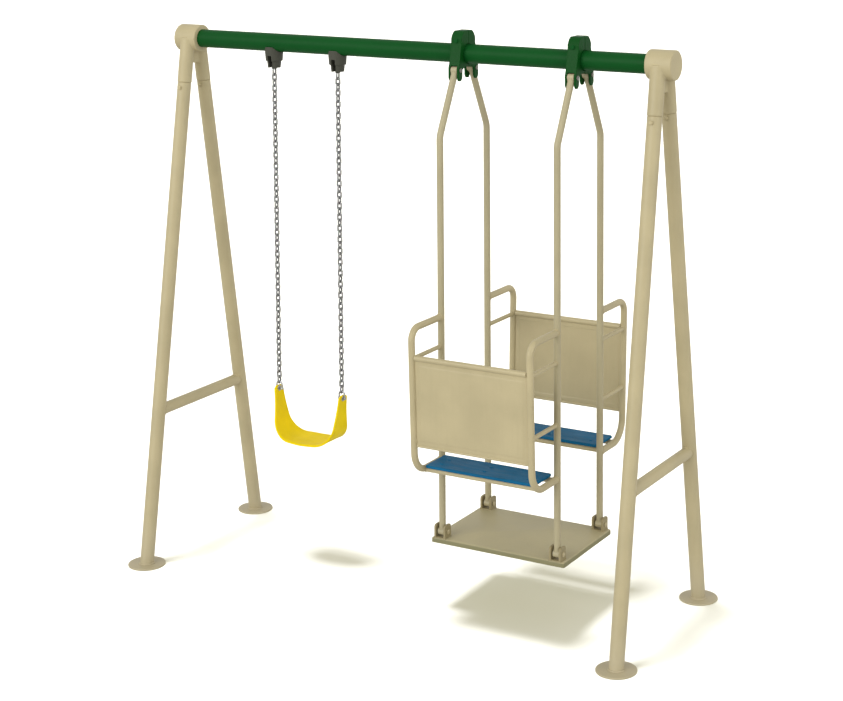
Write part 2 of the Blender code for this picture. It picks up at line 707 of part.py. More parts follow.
def build_hanger_pin(hand, mats):
    x = CHAIN_X[HANDS[hand]]
    finish_object(f"hanger_pin_{hand}",
                  cylinder((x - HANGER_PIN_REACH, 0, HANGER_PIN_Z),
                           (x + HANGER_PIN_REACH, 0, HANGER_PIN_Z),
                           HANGER_PIN_R, PIN_FACETS), mats["zinc"], (x, 0, HANGER_PIN_Z))


def build_yoke(hand, parent, mats):
    """Bored eye on the hanger pin with a shank down to the chain."""
    x = CHAIN_X[HANDS[hand]]
    eye = cylinder((x - YOKE_HALF_WIDTH, 0, HANGER_PIN_Z), (x + YOKE_HALF_WIDTH, 0, HANGER_PIN_Z),
                   YOKE_EYE_R, 14)
    yoke = finish_object(f"swing_yoke_{hand}", eye, mats["black"], (x, 0, HANGER_PIN_Z), parent)
    half_x, half_y = YOKE_SHANK
    fuse(yoke, box((x - half_x, -half_y, YOKE_END_Z), (x + half_x, half_y, HANGER_PIN_Z)))
    cut(yoke, cylinder((x - 0.02, 0, HANGER_PIN_Z), (x + 0.02, 0, HANGER_PIN_Z),
                       HANGER_PIN_HOLE_R, PIN_FACETS))


def build_chain(hand, parent, mats):
    """Plain bar that stands for the chain's links."""
    x = CHAIN_X[HANDS[hand]]
    finish_object(f"swing_chain_{hand}",
                  cylinder((x, 0, CHAIN_END_Z), (x, 0, YOKE_END_Z - GAP), CHAIN_R, 8),
                  mats["zinc"], (x, 0, YOKE_END_Z), parent)


def belt_half_depth(fraction):
    """Half the belt's depth along its length; fraction is -1 and 1 at the two ends."""
    widen = 0.5 + 0.5 * math.cos(math.pi * min(1.0, abs(fraction)))
    return BELT_HALF_DEPTH_END + (BELT_HALF_DEPTH_MID - BELT_HALF_DEPTH_END) * widen


def belt_path():
    centre_x = sum(CHAIN_X) / 2
    corners = [(centre_x - BELT_HALF, 0, BELT_TOP_Z), (centre_x - BELT_HALF + BELT_LEAN, 0, BELT_BOTTOM_Z),
               (centre_x, 0, BELT_BOTTOM_Z - BELT_SAG),
               (centre_x + BELT_HALF - BELT_LEAN, 0, BELT_BOTTOM_Z), (centre_x + BELT_HALF, 0, BELT_TOP_Z)]
    return rounded_path(corners, BELT_BEND_RADIUS, 5)


def build_belt_seat(parent, mats):
    """Flexible belt bent to a U, widest where it is sat on, with a hole at each end."""
    points = belt_path()
    lengths = [0.0]
    for a, b in zip(points, points[1:]):
        lengths.append(lengths[-1] + (b - a).length)
    bm = bmesh.new()
    rings = []
    for (point, across), length in zip(path_frames(points, Vector((0, 1, 0))), lengths):
        depth = belt_half_depth(2 * length / lengths[-1] - 1)
        offset = across * BELT_THICK / 2
        edge = Vector((0, depth, 0))
        rings.append([bm.verts.new(point + corner) for corner in
                      (offset - edge, offset + edge, -offset + edge, -offset - edge)])
    for ring_a, ring_b in zip(rings, rings[1:]):
        bridge(bm, ring_a, ring_b)
    bm.faces.new(rings[0])
    bm.faces.new(rings[-1])
    belt = finish_object("belt_seat", bm, mats["yellow"], parent.location, parent)
    for x in (points[0].x, points[-1].x):
        cut(belt, cylinder((x - 0.02, 0, BELT_PIVOT_Z), (x + 0.02, 0, BELT_PIVOT_Z), BELT_HOLE_R, 8))


def build_belt_swing(mats):
    swing_axis = bpy.data.objects.new("belt_swing_axis", None)
    swing_axis.location = (0, 0, HANGER_PIN_Z)
    bpy.context.scene.collection.objects.link(swing_axis)
    tilt_axis = bpy.data.objects.new("belt_tilt_axis", None)
    tilt_axis.location = (0, 0, BELT_PIVOT_Z)
    bpy.context.scene.collection.objects.link(tilt_axis)
    for hand in HANDS:
        build_hanger(hand, mats)
        build_hanger_pin(hand, mats)
        build_yoke(hand, swing_axis, mats)
        build_chain(hand, swing_axis, mats)
    build_belt_seat(tilt_axis, mats)


# ---------------------------------------------------------------- assembly
def build_frame(mats):
    build_beam(mats)
    for hand in HANDS:
        build_corner_casting(hand, mats)
        build_cross_brace(hand, mats)
        build_clamp_bolt(hand, mats)
        for side_name in SIDES:
            build_leg(side_name, hand, mats)
            build_foot_plate(side_name, hand, mats)
            build_leg_bolt(side_name, hand, mats)
            build_clamp(side_name, hand, mats)


def main():
    clear_scene()
    mats = make_materials()
    build_frame(mats)
    for side_name in SIDES:
        build_glider_half(side_name, mats)
    build_platform(mats)
    build_belt_swing(mats)


main()
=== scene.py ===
"""Looks of the glider swing: fine meshes, finishes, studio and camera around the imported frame.

Metres. +X runs along the beam towards the glider, -Y is the front, +Z is up.
"""
import json
import math

import bmesh
import bpy
from mathutils import Matrix, Vector


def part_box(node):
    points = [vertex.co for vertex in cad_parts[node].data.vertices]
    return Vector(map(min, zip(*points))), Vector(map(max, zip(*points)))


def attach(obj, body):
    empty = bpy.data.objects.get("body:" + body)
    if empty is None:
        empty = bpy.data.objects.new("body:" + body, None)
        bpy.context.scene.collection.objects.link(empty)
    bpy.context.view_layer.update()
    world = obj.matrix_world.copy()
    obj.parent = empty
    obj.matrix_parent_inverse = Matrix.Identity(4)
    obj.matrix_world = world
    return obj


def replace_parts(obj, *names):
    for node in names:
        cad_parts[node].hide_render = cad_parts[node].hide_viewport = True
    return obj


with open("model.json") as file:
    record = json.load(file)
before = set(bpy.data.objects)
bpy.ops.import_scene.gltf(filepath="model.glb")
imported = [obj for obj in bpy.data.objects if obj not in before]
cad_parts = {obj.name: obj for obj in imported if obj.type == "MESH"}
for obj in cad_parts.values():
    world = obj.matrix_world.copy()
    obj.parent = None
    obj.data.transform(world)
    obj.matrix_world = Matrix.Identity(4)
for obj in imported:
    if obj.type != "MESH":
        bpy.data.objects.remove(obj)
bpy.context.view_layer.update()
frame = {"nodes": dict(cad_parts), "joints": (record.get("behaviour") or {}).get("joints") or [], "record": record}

# ---- places, read from the frame
SIDES = {"front": -1, "rear": 1}
HANDS = {"left": -1, "right": 1}
ALONG = Vector((1, 0, 0))
ACROSS = Vector((0, 1, 0))
UP = Vector((0, 0, 1))
BODY_OF = {node: body for body, nodes in frame["record"]["behaviour"]["bodies"].items() for node in nodes}
JOINT_AT = {joint["name"]: Vector(joint["pos_m"]) for joint in frame["joints"]}


def centre(node):
    low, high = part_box(node)
    return (low + high) / 2


BEAM_Z = centre("beam").z
ROD_X = {hand: centre(f"glider_rod_front_{hand}").x for hand in HANDS}
CHAIN_X = {hand: centre(f"swing_chain_{hand}").x for hand in HANDS}
TOP_PIVOT = JOINT_AT["glider_rear"]
BOTTOM_PIVOT_Z = JOINT_AT["platform_tilt"].z
ROD_SPREAD = -JOINT_AT["platform_tilt"].y
BELT_PIVOT_Z = JOINT_AT["belt_tilt"].z

# ---- section sizes
# The frame.
BEAM_R = 0.040
BEAM_CHAMFER = 0.002
SEAM_ANGLE = math.radians(215.0)
SEAM_R = 0.0016  # ridge of the beam's lengthwise factory weld
SEAM_SINK = 0.0010
SEAM_MARGIN = 0.01
LEG_R = 0.030
LEG_CHAMFER = 0.0010
LEG_SPREAD_TOP = 0.037  # leg axis to the mid-plane, at the beam's axis
LEG_TOP_Z = 2.105
LEG_GAP = 0.0005  # from a leg's top to the casting's shoulder
LEG_STATIONS = (0.5, 1.0, 1.5)
FOOT_SHARE = 0.72  # a leg starts this far up in its foot plate's thickness
COLLAR_LIFT = 0.001  # short upright collar inside the weld at a leg's foot
COLLAR_RISE = 0.002
STUB_R = 0.0315
STUB_END_Z = LEG_TOP_Z + 0.001
CASTING_R = 0.060
CASTING_RIM = 0.0035
CASTING_WEB_HALF = 0.014
CASTING_WEB_Z = 2.190
SPIGOT_R = 0.0262
SPIGOT_END_Z = 2.040
FOOT_R = 0.081
FOOT_RIM = 0.0025
BRACE_R = 0.025
BRACE_STATIONS = (0.015, 0.3, 0.7, 0.985)  # shares of the way from leg to leg

# Fasteners. Pins: shank radius, head radius, height of the domed head.
BOLT_R = 0.005
BOLT_HEAD = 0.006  # height of a bolt's head
NUT_AND_TIP = 0.010  # height of a nut with the bolt's end that stands out of it
LEG_BOLT_HEX = 0.0082  # corner radius of a hexagon head
CLAMP_BOLT_HEX = 0.0088
WASHER = 0.0014
PIVOT_PIN = (0.006, 0.0095, 0.0045)
HANGER_PIN = (0.005, 0.0078, 0.0050)
SHACKLE_PIN = (0.0035, 0.0055, 0.0025)
HANGER_PIN_OUT = 0.003

# The glider.
ROD_R = 0.014
ROD_BEND_Z = 1.980
ROD_BEND_RADIUS = 0.070
ROD_INSET = 0.009  # pipe's end to the middle of its eye
EYE_R = 0.0165
EYE_LIP = 0.0012
EYE_HALF_WIDTH = 0.0145
EYE_BORE_R = 0.0066
BUSH_R = 0.0125
TOP_BUSH = 0.0008  # widths of the washers beside the rods' eyes
BOTTOM_BUSH = 0.0032
ARM_TOP_Z = 1.235
ARM_BOTTOM_Z = 0.637
ARM_TOP_BEND = 0.050
ARM_BOTTOM_BEND = 0.090
ARM_BRACE_Z = (0.860, 1.113)
ARM_BRACE_R = 0.009
ARM_ROOT = 0.004  # arms and bars end this far from a pipe's axis, inside the pipe
ARM_STRAIGHT = 0.08  # from the rod's axis to a spot on the straight part of an arm
SEAT_SPREAD_TOP = 0.422  # backrest uprights to the mid-plane; they lean outwards
SEAT_SPREAD_BOTTOM = 0.402
ROLL_R = 0.0115  # rolled top edge of a backrest
HEM_R = 0.005
SHEET = 0.0025
FIELD_BORDER = 0.014  # flat border round the pressed field of a backrest
FIELD_SLOPE = 0.010
FIELD_DEPTH = 0.0016
BACK_TACKS = (0.06, 0.30, 0.54, 0.78, 0.97)  # where a backrest is tacked, as shares of its height
BACK_TACK = (0.020, 0.0024)  # length and radius
BACK_TACK_OUT = 0.002
RAIL_R = 0.011
STRAP_X = (0.320, 0.518, 0.716)
STRAP_HALF_WIDTH = 0.012
STRAP_THICK = 0.004
STRAP_INSET = 0.003  # strap's end inside the rail's skin
STRAP_BEVEL = 0.0012
STRAP_TACK_R = 0.0018
STRAP_TACK_OUT = 0.0005
BOARD_CORNER = 0.010
BOARD_EDGE = 0.0045
BOARD_DISH = 0.0015
BOARD_BOLT_R = 0.0085
BOARD_BOLT_DOME = 0.0030
BOARD_BOLT_SINK = 0.0014
BOARD_BOLT_Y = 0.028  # board's middle line to each row of bolts

# The foot platform.
DECK_SHEET = 0.003
DECK_BEND = 0.007
DECK_LEAST_CORNER = 0.0006
DECK_RISE = 0.012  # height of the deck's crossed creases in the middle
CLEVIS_TACKS = 5
CLEVIS_TACK_LENGTH = 0.012
CLEVIS_TACK_LIFT = 0.0008

# The belt swing.
HANGER_TOP_R = 0.0415
HANGER_TOP_DROP = 0.018  # beam's axis to the top of the hanger's bell
HANGER_WAIST_R = 0.037
HANGER_WAIST_Z = 2.220
HANGER_NOSE_R = 0.0315
HANGER_NOSE_RISE = 0.006  # how far the nose runs up into the bell
HANGER_BOTTOM_R = 0.028
HANGER_SLOT_HALF = 0.0095
HANGER_SLOT_Z = (2.150, 2.243)
HANGER_SLOT_BEVEL = 0.002
HANGER_FIT = 0.0004  # gap between a hanger and the beam
HANGER_REACH = 0.06  # half length of the tools that cut a hanger
LINK_WIRE = 0.0078  # chain wire's diameter
LINK_WIDTH = 0.0260
LINK_PITCH = 0.0240
BELT_THICK = 0.009
BELT_HALF = 0.172
BELT_LEAN = 0.026
BELT_TOP_Z = 0.769
BELT_BOTTOM_Z = 0.549
BELT_BEND_RADIUS = 0.090
BELT_SAG = 0.005
BELT_HALF_DEPTH_END = 0.031
BELT_HALF_DEPTH_MID = 0.090
BELT_CORNER = 0.016
BELT_STEP = 0.008
BELT_WEB = 0.0062  # belt's thickness between its thicker rims
EYELET_R = (0.0052, 0.0105, 0.0122)  # bore, face and skirt
EYELET_RIM = 0.0012
SHACKLE_R = 0.0036
SHACKLE_HALF = 0.0138
SHACKLE_RISE = 0.0175
SHACKLE_BOSS = (0.0035, 0.0058)  # half width and radius
SHACKLE_PIN_OUT = 0.006

# Welds.
FINE_WELD = 0.0020  # radii of the weld beads
RAIL_WELD = 0.0021
SMALL_WELD = 0.0026
BRACE_WELD = 0.0034
LARGE_WELD = 0.0042
RIPPLE = 0.16  # how much a weld's ripples stand out
BEAD_LIFT = 0.001  # from a pipe's skin to the middle of a bead on it
SMALL_LIFT = 0.0006
FINE_LIFT = 0.0004

# Castings and brackets are remeshed: (voxel size, rounds of smoothing).
CORNER_SKIN = (0.0022, 9)
CLAMP_SKIN = (0.0017, 7)
HANGER_SKIN = (0.0013, 5)
YOKE_SKIN = (0.0008, 5)
CLEVIS_SKIN = (0.0010, 3)


# ---- mesh tools
def new_object(name, bm, mat, angle=35.0):
    bmesh.ops.recalc_face_normals(bm, faces=bm.faces)
    mesh = bpy.data.meshes.new(name)
    bm.to_mesh(mesh)
    bm.free()
    mesh.shade_smooth()
    mesh.set_sharp_from_angle(angle=math.radians(angle))
    if mat is not None:
        mesh.materials.append(mat)
    obj = bpy.data.objects.new(name, mesh)
    bpy.context.scene.collection.objects.link(obj)
    return obj


def stack(bm, rings, closed=False):
    """Skin over rings of points. A ring of one point is a tip; open ends are capped.

    Two tips in a row end one skin and start the next.
    """
    made = [[bm.verts.new(point) for point in ring] for ring in rings]
    pairs = list(zip(made, made[1:]))
    if closed:
        pairs.append((made[-1], made[0]))
    for lower, upper in pairs:
        count = max(len(lower), len(upper))
        if count == 1:
            continue
        for i in range(count):
            j = (i + 1) % count
            corners = (lower[i % len(lower)], lower[j % len(lower)],
                       upper[j % len(upper)], upper[i % len(upper)])
            bm.faces.new(tuple(dict.fromkeys(corners)))
    if not closed:
        for end in (made[0], made[-1]):
            if len(end) > 2:
                bm.faces.new(end)


def circle(middle, u, v, radius, segments):
    steps = (2 * math.pi * i / segments for i in range(segments))
    return [middle + (u * math.cos(a) + v * math.sin(a)) * radius for a in steps]


def rounded_path(corners, radius, steps):
    """Points along a polyline whose inner corners are replaced by arcs."""
    corners = [Vector(c) for c in corners]
    points = [corners[0]]
    for before, corner, after in zip(corners, corners[1:], corners[2:]):
        to_before = (before - corner).normalized()
        to_after = (after - corner).normalized()
        half = to_before.angle(to_after) / 2
        middle = corner + (to_before + to_after).normalized() * radius / math.sin(half)
        arc_start = corner + to_before * radius / math.tan(half) - middle
        arc_end = corner + to_after * radius / math.tan(half) - middle
        sweep_turn = arc_start.rotation_difference(arc_end)
        for step in range(steps + 1):
            turn = Matrix.Rotation(sweep_turn.angle * step / steps, 3, sweep_turn.axis)
            points.append(middle + turn @ arc_start)
    points.append(corners[-1])
    return points


def soft_profile(corners, radius, steps):
    """The same for an outline of (along, radius) pairs."""
    return [(p.x, p.y) for p in rounded_path([(a, b, 0) for a, b in corners], radius, steps)]


def sweep(bm, points, radius, side, segments, closed=False):
    """Round bar along a path. radius and side may be one value or one for each point."""
    points = [Vector(p) for p in points]
    last = len(points) - 1
    rings = []
    for i, point in enumerate(points):
        before = points[i - 1] if i or closed else point
        after = points[(i + 1) % len(points)] if i < last or closed else point
        tangent = (after - before).normalized()
        wanted = side[i] if isinstance(side, list) else side
        v = tangent.cross(wanted).normalized()
        u = v.cross(tangent)
        rings.append(circle(point, u, v, radius[i] if isinstance(radius, list) else radius, segments))
    stack(bm, rings, closed)


def drum(height, radius, end_radius=None):
    """Profile of a plain turned solid, straight or tapering to end_radius."""
    return [(0, 0), (0, radius), (height, end_radius or radius), (height, 0)]


def lathe(bm, profile, origin, axis, segments, closed=False):
    """Turned solid from (distance along the axis, radius) pairs; a closed outline makes a ring."""
    axis = Vector(axis).normalized()
    u = axis.orthogonal().normalized()
    v = axis.cross(u)
    rings = []
    for along, radius in profile:
        middle = Vector(origin) + axis * along
        rings.append(circle(middle, u, v, radius, segments) if radius > 1e-6 else [middle])
    stack(bm, rings, closed)


def block(bm, low, high, bevel):
    """Box with rounded edges."""
    low = Vector(low)
    high = Vector(high)
    scale = Matrix.Diagonal((*(high - low), 1.0))
    made = bmesh.ops.create_cube(bm, size=1.0, matrix=Matrix.Translation((low + high) / 2) @ scale)
    edges = list(dict.fromkeys(edge for vert in made["verts"] for edge in vert.link_edges))
    bmesh.ops.bevel(bm, geom=edges, offset=bevel, segments=3, profile=0.5, affect="EDGES")


def rounded_rectangle(half_x, half_y, radius, per_corner, per_side):
    """Outline of (x, y) pairs about the origin, with the same number of points whatever its size."""
    arcs = []
    for quarter, (sx, sy) in enumerate(((1, 1), (-1, 1), (-1, -1), (1, -1))):
        middle = Vector((sx * (half_x - radius), sy * (half_y - radius)))
        angles = (math.pi / 2 * (quarter + step / (per_corner - 1)) for step in range(per_corner))
        arcs.append([middle + Vector((math.cos(a), math.sin(a))) * radius for a in angles])
    points = []
    for arc, following in zip(arcs, arcs[1:] + arcs[:1]):
        points += arc
        points += [arc[-1].lerp(following[0], (i + 1) / (per_side + 1)) for i in range(per_side)]
    return points


def cast(bm, voxel, passes, cutter=None):
    """Skin of overlapping solids as a casting: inner corners filled, outer ones rounded."""
    blanks = [new_object("casting_blank", bm, None)]
    obj = blanks[0]
    if cutter is not None:
        blanks.append(new_object("casting_core", cutter, None))
        modifier = obj.modifiers.new("core", "BOOLEAN")
        modifier.operation = "DIFFERENCE"
        modifier.object = blanks[1]
        modifier.use_self = True
    remesh = obj.modifiers.new("skin", "REMESH")
    remesh.mode = "VOXEL"
    remesh.voxel_size = voxel
    relax = obj.modifiers.new("relax", "SMOOTH")
    relax.factor = 0.5
    relax.iterations = passes
    result = bmesh.new()
    result.from_mesh(obj.evaluated_get(bpy.context.evaluated_depsgraph_get()).to_mesh())
    for blank in blanks:
        bpy.data.objects.remove(blank, do_unlink=True)
    return result


def node_mesh(node):
    bm = bmesh.new()
    bm.from_mesh(frame["nodes"][node].data)
    return bm


# ---- welds and pins
def saddle(origin, direction, pipe_r, axis_point, axis_dir, host_r, count=56):
    """Curve where a pipe running from origin along direction meets the skin of a host pipe."""
    direction = direction.normalized()
    axis_dir = axis_dir.normalized()
    e1 = axis_dir.cross(direction).normalized()
    e2 = direction.cross(e1)
    flat = direction - axis_dir * direction.dot(axis_dir)
    points = []
    for i in range(count):
        angle = 2 * math.pi * i / count
        start = origin + (e1 * math.cos(angle) + e2 * math.sin(angle)) * pipe_r
        away = start - axis_point
        away -= axis_dir * away.dot(axis_dir)
        a = flat.dot(flat)
        b = away.dot(flat)
        c = away.dot(away) - host_r ** 2
        points.append(start + direction * ((-b - math.sqrt(max(b * b - a * c, 0.0))) / a))
    return points


def level_ring(axis_point, direction, radius, z, count):
    """Curve where a leaning pipe meets a level plane."""
    u = direction.orthogonal().normalized()
    v = direction.normalized().cross(u)
    return [p + direction * ((z - p.z) / direction.z) for p in circle(axis_point, u, v, radius, count)]


def weld(bm, points, radius, waves):
    """Rippled bead along a closed curve."""
    middle = sum(points, Vector()) / len(points)
    outward = [(p - middle).normalized() for p in points]
    count = len(points)
    radii = [radius * (1 + RIPPLE * math.sin(2 * math.pi * waves * i / count)) for i in range(count)]
    sweep(bm, points, radii, outward, 8, closed=True)


def tack(bm, middle, direction, length, radius):
    """Short weld, fat in the middle."""
    steps = 8
    points = []
    radii = []
    for i in range(steps + 1):
        t = i / steps
        points.append(middle + direction * length * (t - 0.5))
        radii.append(radius * (0.25 + 0.75 * math.sqrt(max(0.0, 1 - (2 * t - 1) ** 2))))
    sweep(bm, points, radii, direction.orthogonal(), 8)


def headed_pin(bm, start, end_x, shank_r, head_r, head_height):
    """Pin along X between the outer faces of its two domed heads."""
    start = Vector(start)
    length = end_x - start.x
    crown = head_height * 0.55
    angles = (math.radians(angle) for angle in (0, 20, 40, 60, 78, 90))
    profile = [(crown * (1 - math.cos(a)), head_r * math.sin(a)) for a in angles]
    profile += [(head_height, head_r), (head_height, shank_r)]
    profile += [(length - along, radius) for along, radius in reversed(profile)]
    lathe(bm, profile, start, ALONG, 24)


# ---- finishes
SPECULAR = "Specular IOR Level"


def set_inputs(tree, node, inputs):
    """Link each input that is given a socket, and set the others."""
    for key, value in inputs.items():
        if isinstance(value, bpy.types.NodeSocket):
            tree.links.new(value, node.inputs[key])
        else:
            node.inputs[key].default_value = value


def add_node(tree, kind, inputs=(), **settings):
    made = tree.nodes.new(kind)
    for key, value in settings.items():
        setattr(made, key, value)
    set_inputs(tree, made, dict(inputs))
    return made


def noise_at(tree, coords, scale, detail=3.0, stretch=(1, 1, 1)):
    mapping = add_node(tree, "ShaderNodeMapping", {"Vector": coords, "Scale": stretch})
    return add_node(tree, "ShaderNodeTexNoise",
                    {"Vector": mapping.outputs["Vector"], "Scale": scale, "Detail": detail}).outputs["Fac"]


def ramp_between(tree, value, low, high, to_low, to_high):
    """Map value from low..high to to_low..to_high, clamped."""
    return add_node(tree, "ShaderNodeMapRange",
                    {"Value": value, "From Min": low, "From Max": high, "To Min": to_low,
                     "To Max": to_high}).outputs["Result"]


def mix_colors(tree, factor, a, b, blend="MIX"):
    inputs = {0: factor, 6: a, 7: b}
    return add_node(tree, "ShaderNodeMix", inputs, data_type="RGBA", blend_type=blend).outputs[2]


def shade(color, factor):
    return (*(min(1.0, c * factor) for c in color), 1.0)


def tint(tree, tone, mask, low, high, amount, color):
    """Mix a colour in, by amount where the mask is above high and not at all below low."""
    return mix_colors(tree, ramp_between(tree, mask, low, high, 0.0, amount), tone, color)


def set_surface(tree, shader, tone, mask, low, high, others):
    """Base colour, roughness from low to high as the mask rises, and other inputs."""
    roughness = ramp_between(tree, mask, 0.3, 0.7, low, high)
    set_inputs(tree, shader, {"Base Color": tone, "Roughness": roughness, **others})


def start_material(name):
    mat = bpy.data.materials.new(name)
    mat.use_nodes = True
    tree = mat.node_tree
    coords = add_node(tree, "ShaderNodeTexCoord").outputs["Object"]
    return mat, tree, tree.nodes["Principled BSDF"], coords


def set_bump(tree, shader, layers):
    """Chain of bumps: each layer is (height socket, distance in metres)."""
    below = {}
    for height, distance in layers:
        inputs = {"Height": height, "Distance": distance, "Strength": 1.0, **below}
        below = {"Normal": add_node(tree, "ShaderNodeBump", inputs).outputs["Normal"]}
    set_inputs(tree, shader, below)


def painted_steel(name, color, roughness, cast_surface=False, shine=0.45, upright_shade=None):
    """Powder coat: orange peel, cloudy tone, streaks, specks, and dust near the ground.

    A cast surface also has worn edges and painted shade in its hollows; a colour given for upright faces is
    painted shade on the faces that stand upright.
    """
    mat, tree, shader, coords = start_material(name)
    clouds = noise_at(tree, coords, 5.0, 4.0)
    specks = noise_at(tree, coords, 420.0, 2.0)
    streaks = noise_at(tree, coords, 60.0, 3.0, (1.0, 1.0, 0.06))
    tone = tint(tree, shade(color, 0.93), clouds, 0.35, 0.65, 1.0, shade(color, 1.05))
    tone = tint(tree, tone, streaks, 0.50, 0.72, 0.16, shade(color, 0.86))
    tone = tint(tree, tone, specks, 0.60, 0.72, 0.25, shade(color, 0.75))
    height = add_node(tree, "ShaderNodeSeparateXYZ", {"Vector": coords}).outputs["Z"]
    low_down = ramp_between(tree, height, 0.0, 0.22, 0.55, 0.0)
    dusty = add_node(tree, "ShaderNodeMath", {0: low_down, 1: clouds}, operation="MULTIPLY").outputs[0]
    tone = mix_colors(tree, dusty, tone, (*DUST, 1.0))
    # Painted shade: faces that stand upright are darkened towards the given colour, the more the less they face
    # up.
    if upright_shade is not None:
        normal = add_node(tree, "ShaderNodeNewGeometry").outputs["Normal"]
        facing_up = add_node(tree, "ShaderNodeSeparateXYZ", {"Vector": normal}).outputs["Z"]
        upright_shade_mask = ramp_between(tree, facing_up, 0.25, 0.85, 0.85, 0.0)
        tone = mix_colors(tree, upright_shade_mask, tone, (*upright_shade, 1.0))
    if cast_surface:
        pointed = add_node(tree, "ShaderNodeNewGeometry").outputs["Pointiness"]
        worn = ramp_between(tree, pointed, 0.53, 0.62, 0.0, 0.55)
        patchy = ramp_between(tree, noise_at(tree, coords, 90.0), 0.42, 0.62, 0.0, 1.0)
        worn = add_node(tree, "ShaderNodeMath", {0: worn, 1: patchy}, operation="MULTIPLY").outputs[0]
        tone = mix_colors(tree, worn, tone, shade(color, 1.45))
        # Painted shade: the hollows of a casting are darkened.
        hollow_shade = ramp_between(tree, pointed, 0.40, 0.49, 0.5, 0.0)
        tone = mix_colors(tree, hollow_shade, tone, shade(color, 0.62))
    set_surface(tree, shader, tone, clouds, roughness - 0.06, roughness + 0.08, {SPECULAR: shine})
    layers = [(noise_at(tree, coords, 330.0, 2.0), 0.00022)]
    if cast_surface:
        layers.append((noise_at(tree, coords, 95.0, 4.0), 0.0007))
    set_bump(tree, shader, layers)
    return mat


def moulded_board(name, color):
    """Grained plastic plank: long grain, scuffs along its length, matt pores."""
    mat, tree, shader, coords = start_material(name)
    grain = noise_at(tree, coords, 130.0, 4.0, (0.05, 1.0, 1.0))
    scuffs = noise_at(tree, coords, 38.0, 5.0, (0.22, 1.0, 1.0))
    clouds = noise_at(tree, coords, 7.0)
    tone = tint(tree, shade(color, 0.86), clouds, 0.35, 0.65, 1.0, shade(color, 1.10))
    tone = tint(tree, tone, grain, 0.40, 0.66, 0.45, shade(color, 0.70))
    tone = tint(tree, tone, scuffs, 0.60, 0.75, 0.30, shade(color, 1.9))
    set_surface(tree, shader, tone, scuffs, 0.38, 0.58, {SPECULAR: 0.12})
    pores = noise_at(tree, coords, 700.0, 2.0)
    set_bump(tree, shader, [(grain, 0.0005), (pores, 0.00015)])
    return mat


def moulded_rubber(name, color):
    """Flexible belt: even moulded skin, rubbed lighter in patches, fine matt grain."""
    mat, tree, shader, coords = start_material(name)
    clouds = noise_at(tree, coords, 9.0, 3.0)
    rubbed = noise_at(tree, coords, 34.0, 5.0)
    tone = tint(tree, shade(color, 0.90), clouds, 0.35, 0.68, 1.0, shade(color, 1.06))
    paler = (color[0], color[1] * 1.10, color[2] * 3, 1.0)
    tone = tint(tree, tone, rubbed, 0.60, 0.78, 0.30, paler)
    set_surface(tree, shader, tone, rubbed, 0.40, 0.56, {SPECULAR: 0.08})
    grain = add_node(tree, "ShaderNodeTexVoronoi", {"Vector": coords, "Scale": 620.0}).outputs["Distance"]
    set_bump(tree, shader, [(grain, 0.00018), (clouds, 0.0006)])
    return mat


def plated_steel(name, color, roughness, metallic=0.85):
    """Zinc plating: mottled tone and roughness, dull film, hair scratches."""
    mat, tree, shader, coords = start_material(name)
    spangle = add_node(tree, "ShaderNodeTexVoronoi", {"Vector": coords, "Scale": 240.0}).outputs["Color"]
    film = noise_at(tree, coords, 55.0, 4.0)
    tone = mix_colors(tree, 0.16, (*color, 1.0), spangle, "SOFT_LIGHT")
    tone = tint(tree, tone, film, 0.45, 0.70, 0.65, shade(color, 0.55))
    set_surface(tree, shader, tone, film, roughness - 0.08, roughness + 0.16, {"Metallic": metallic})
    set_bump(tree, shader, [(noise_at(tree, coords, 900.0, 2.0, (1, 1, 0.15)), 0.00008)])
    return mat


BEIGE = (0.495, 0.420, 0.238)
DECK_BEIGE = (0.470, 0.410, 0.235)
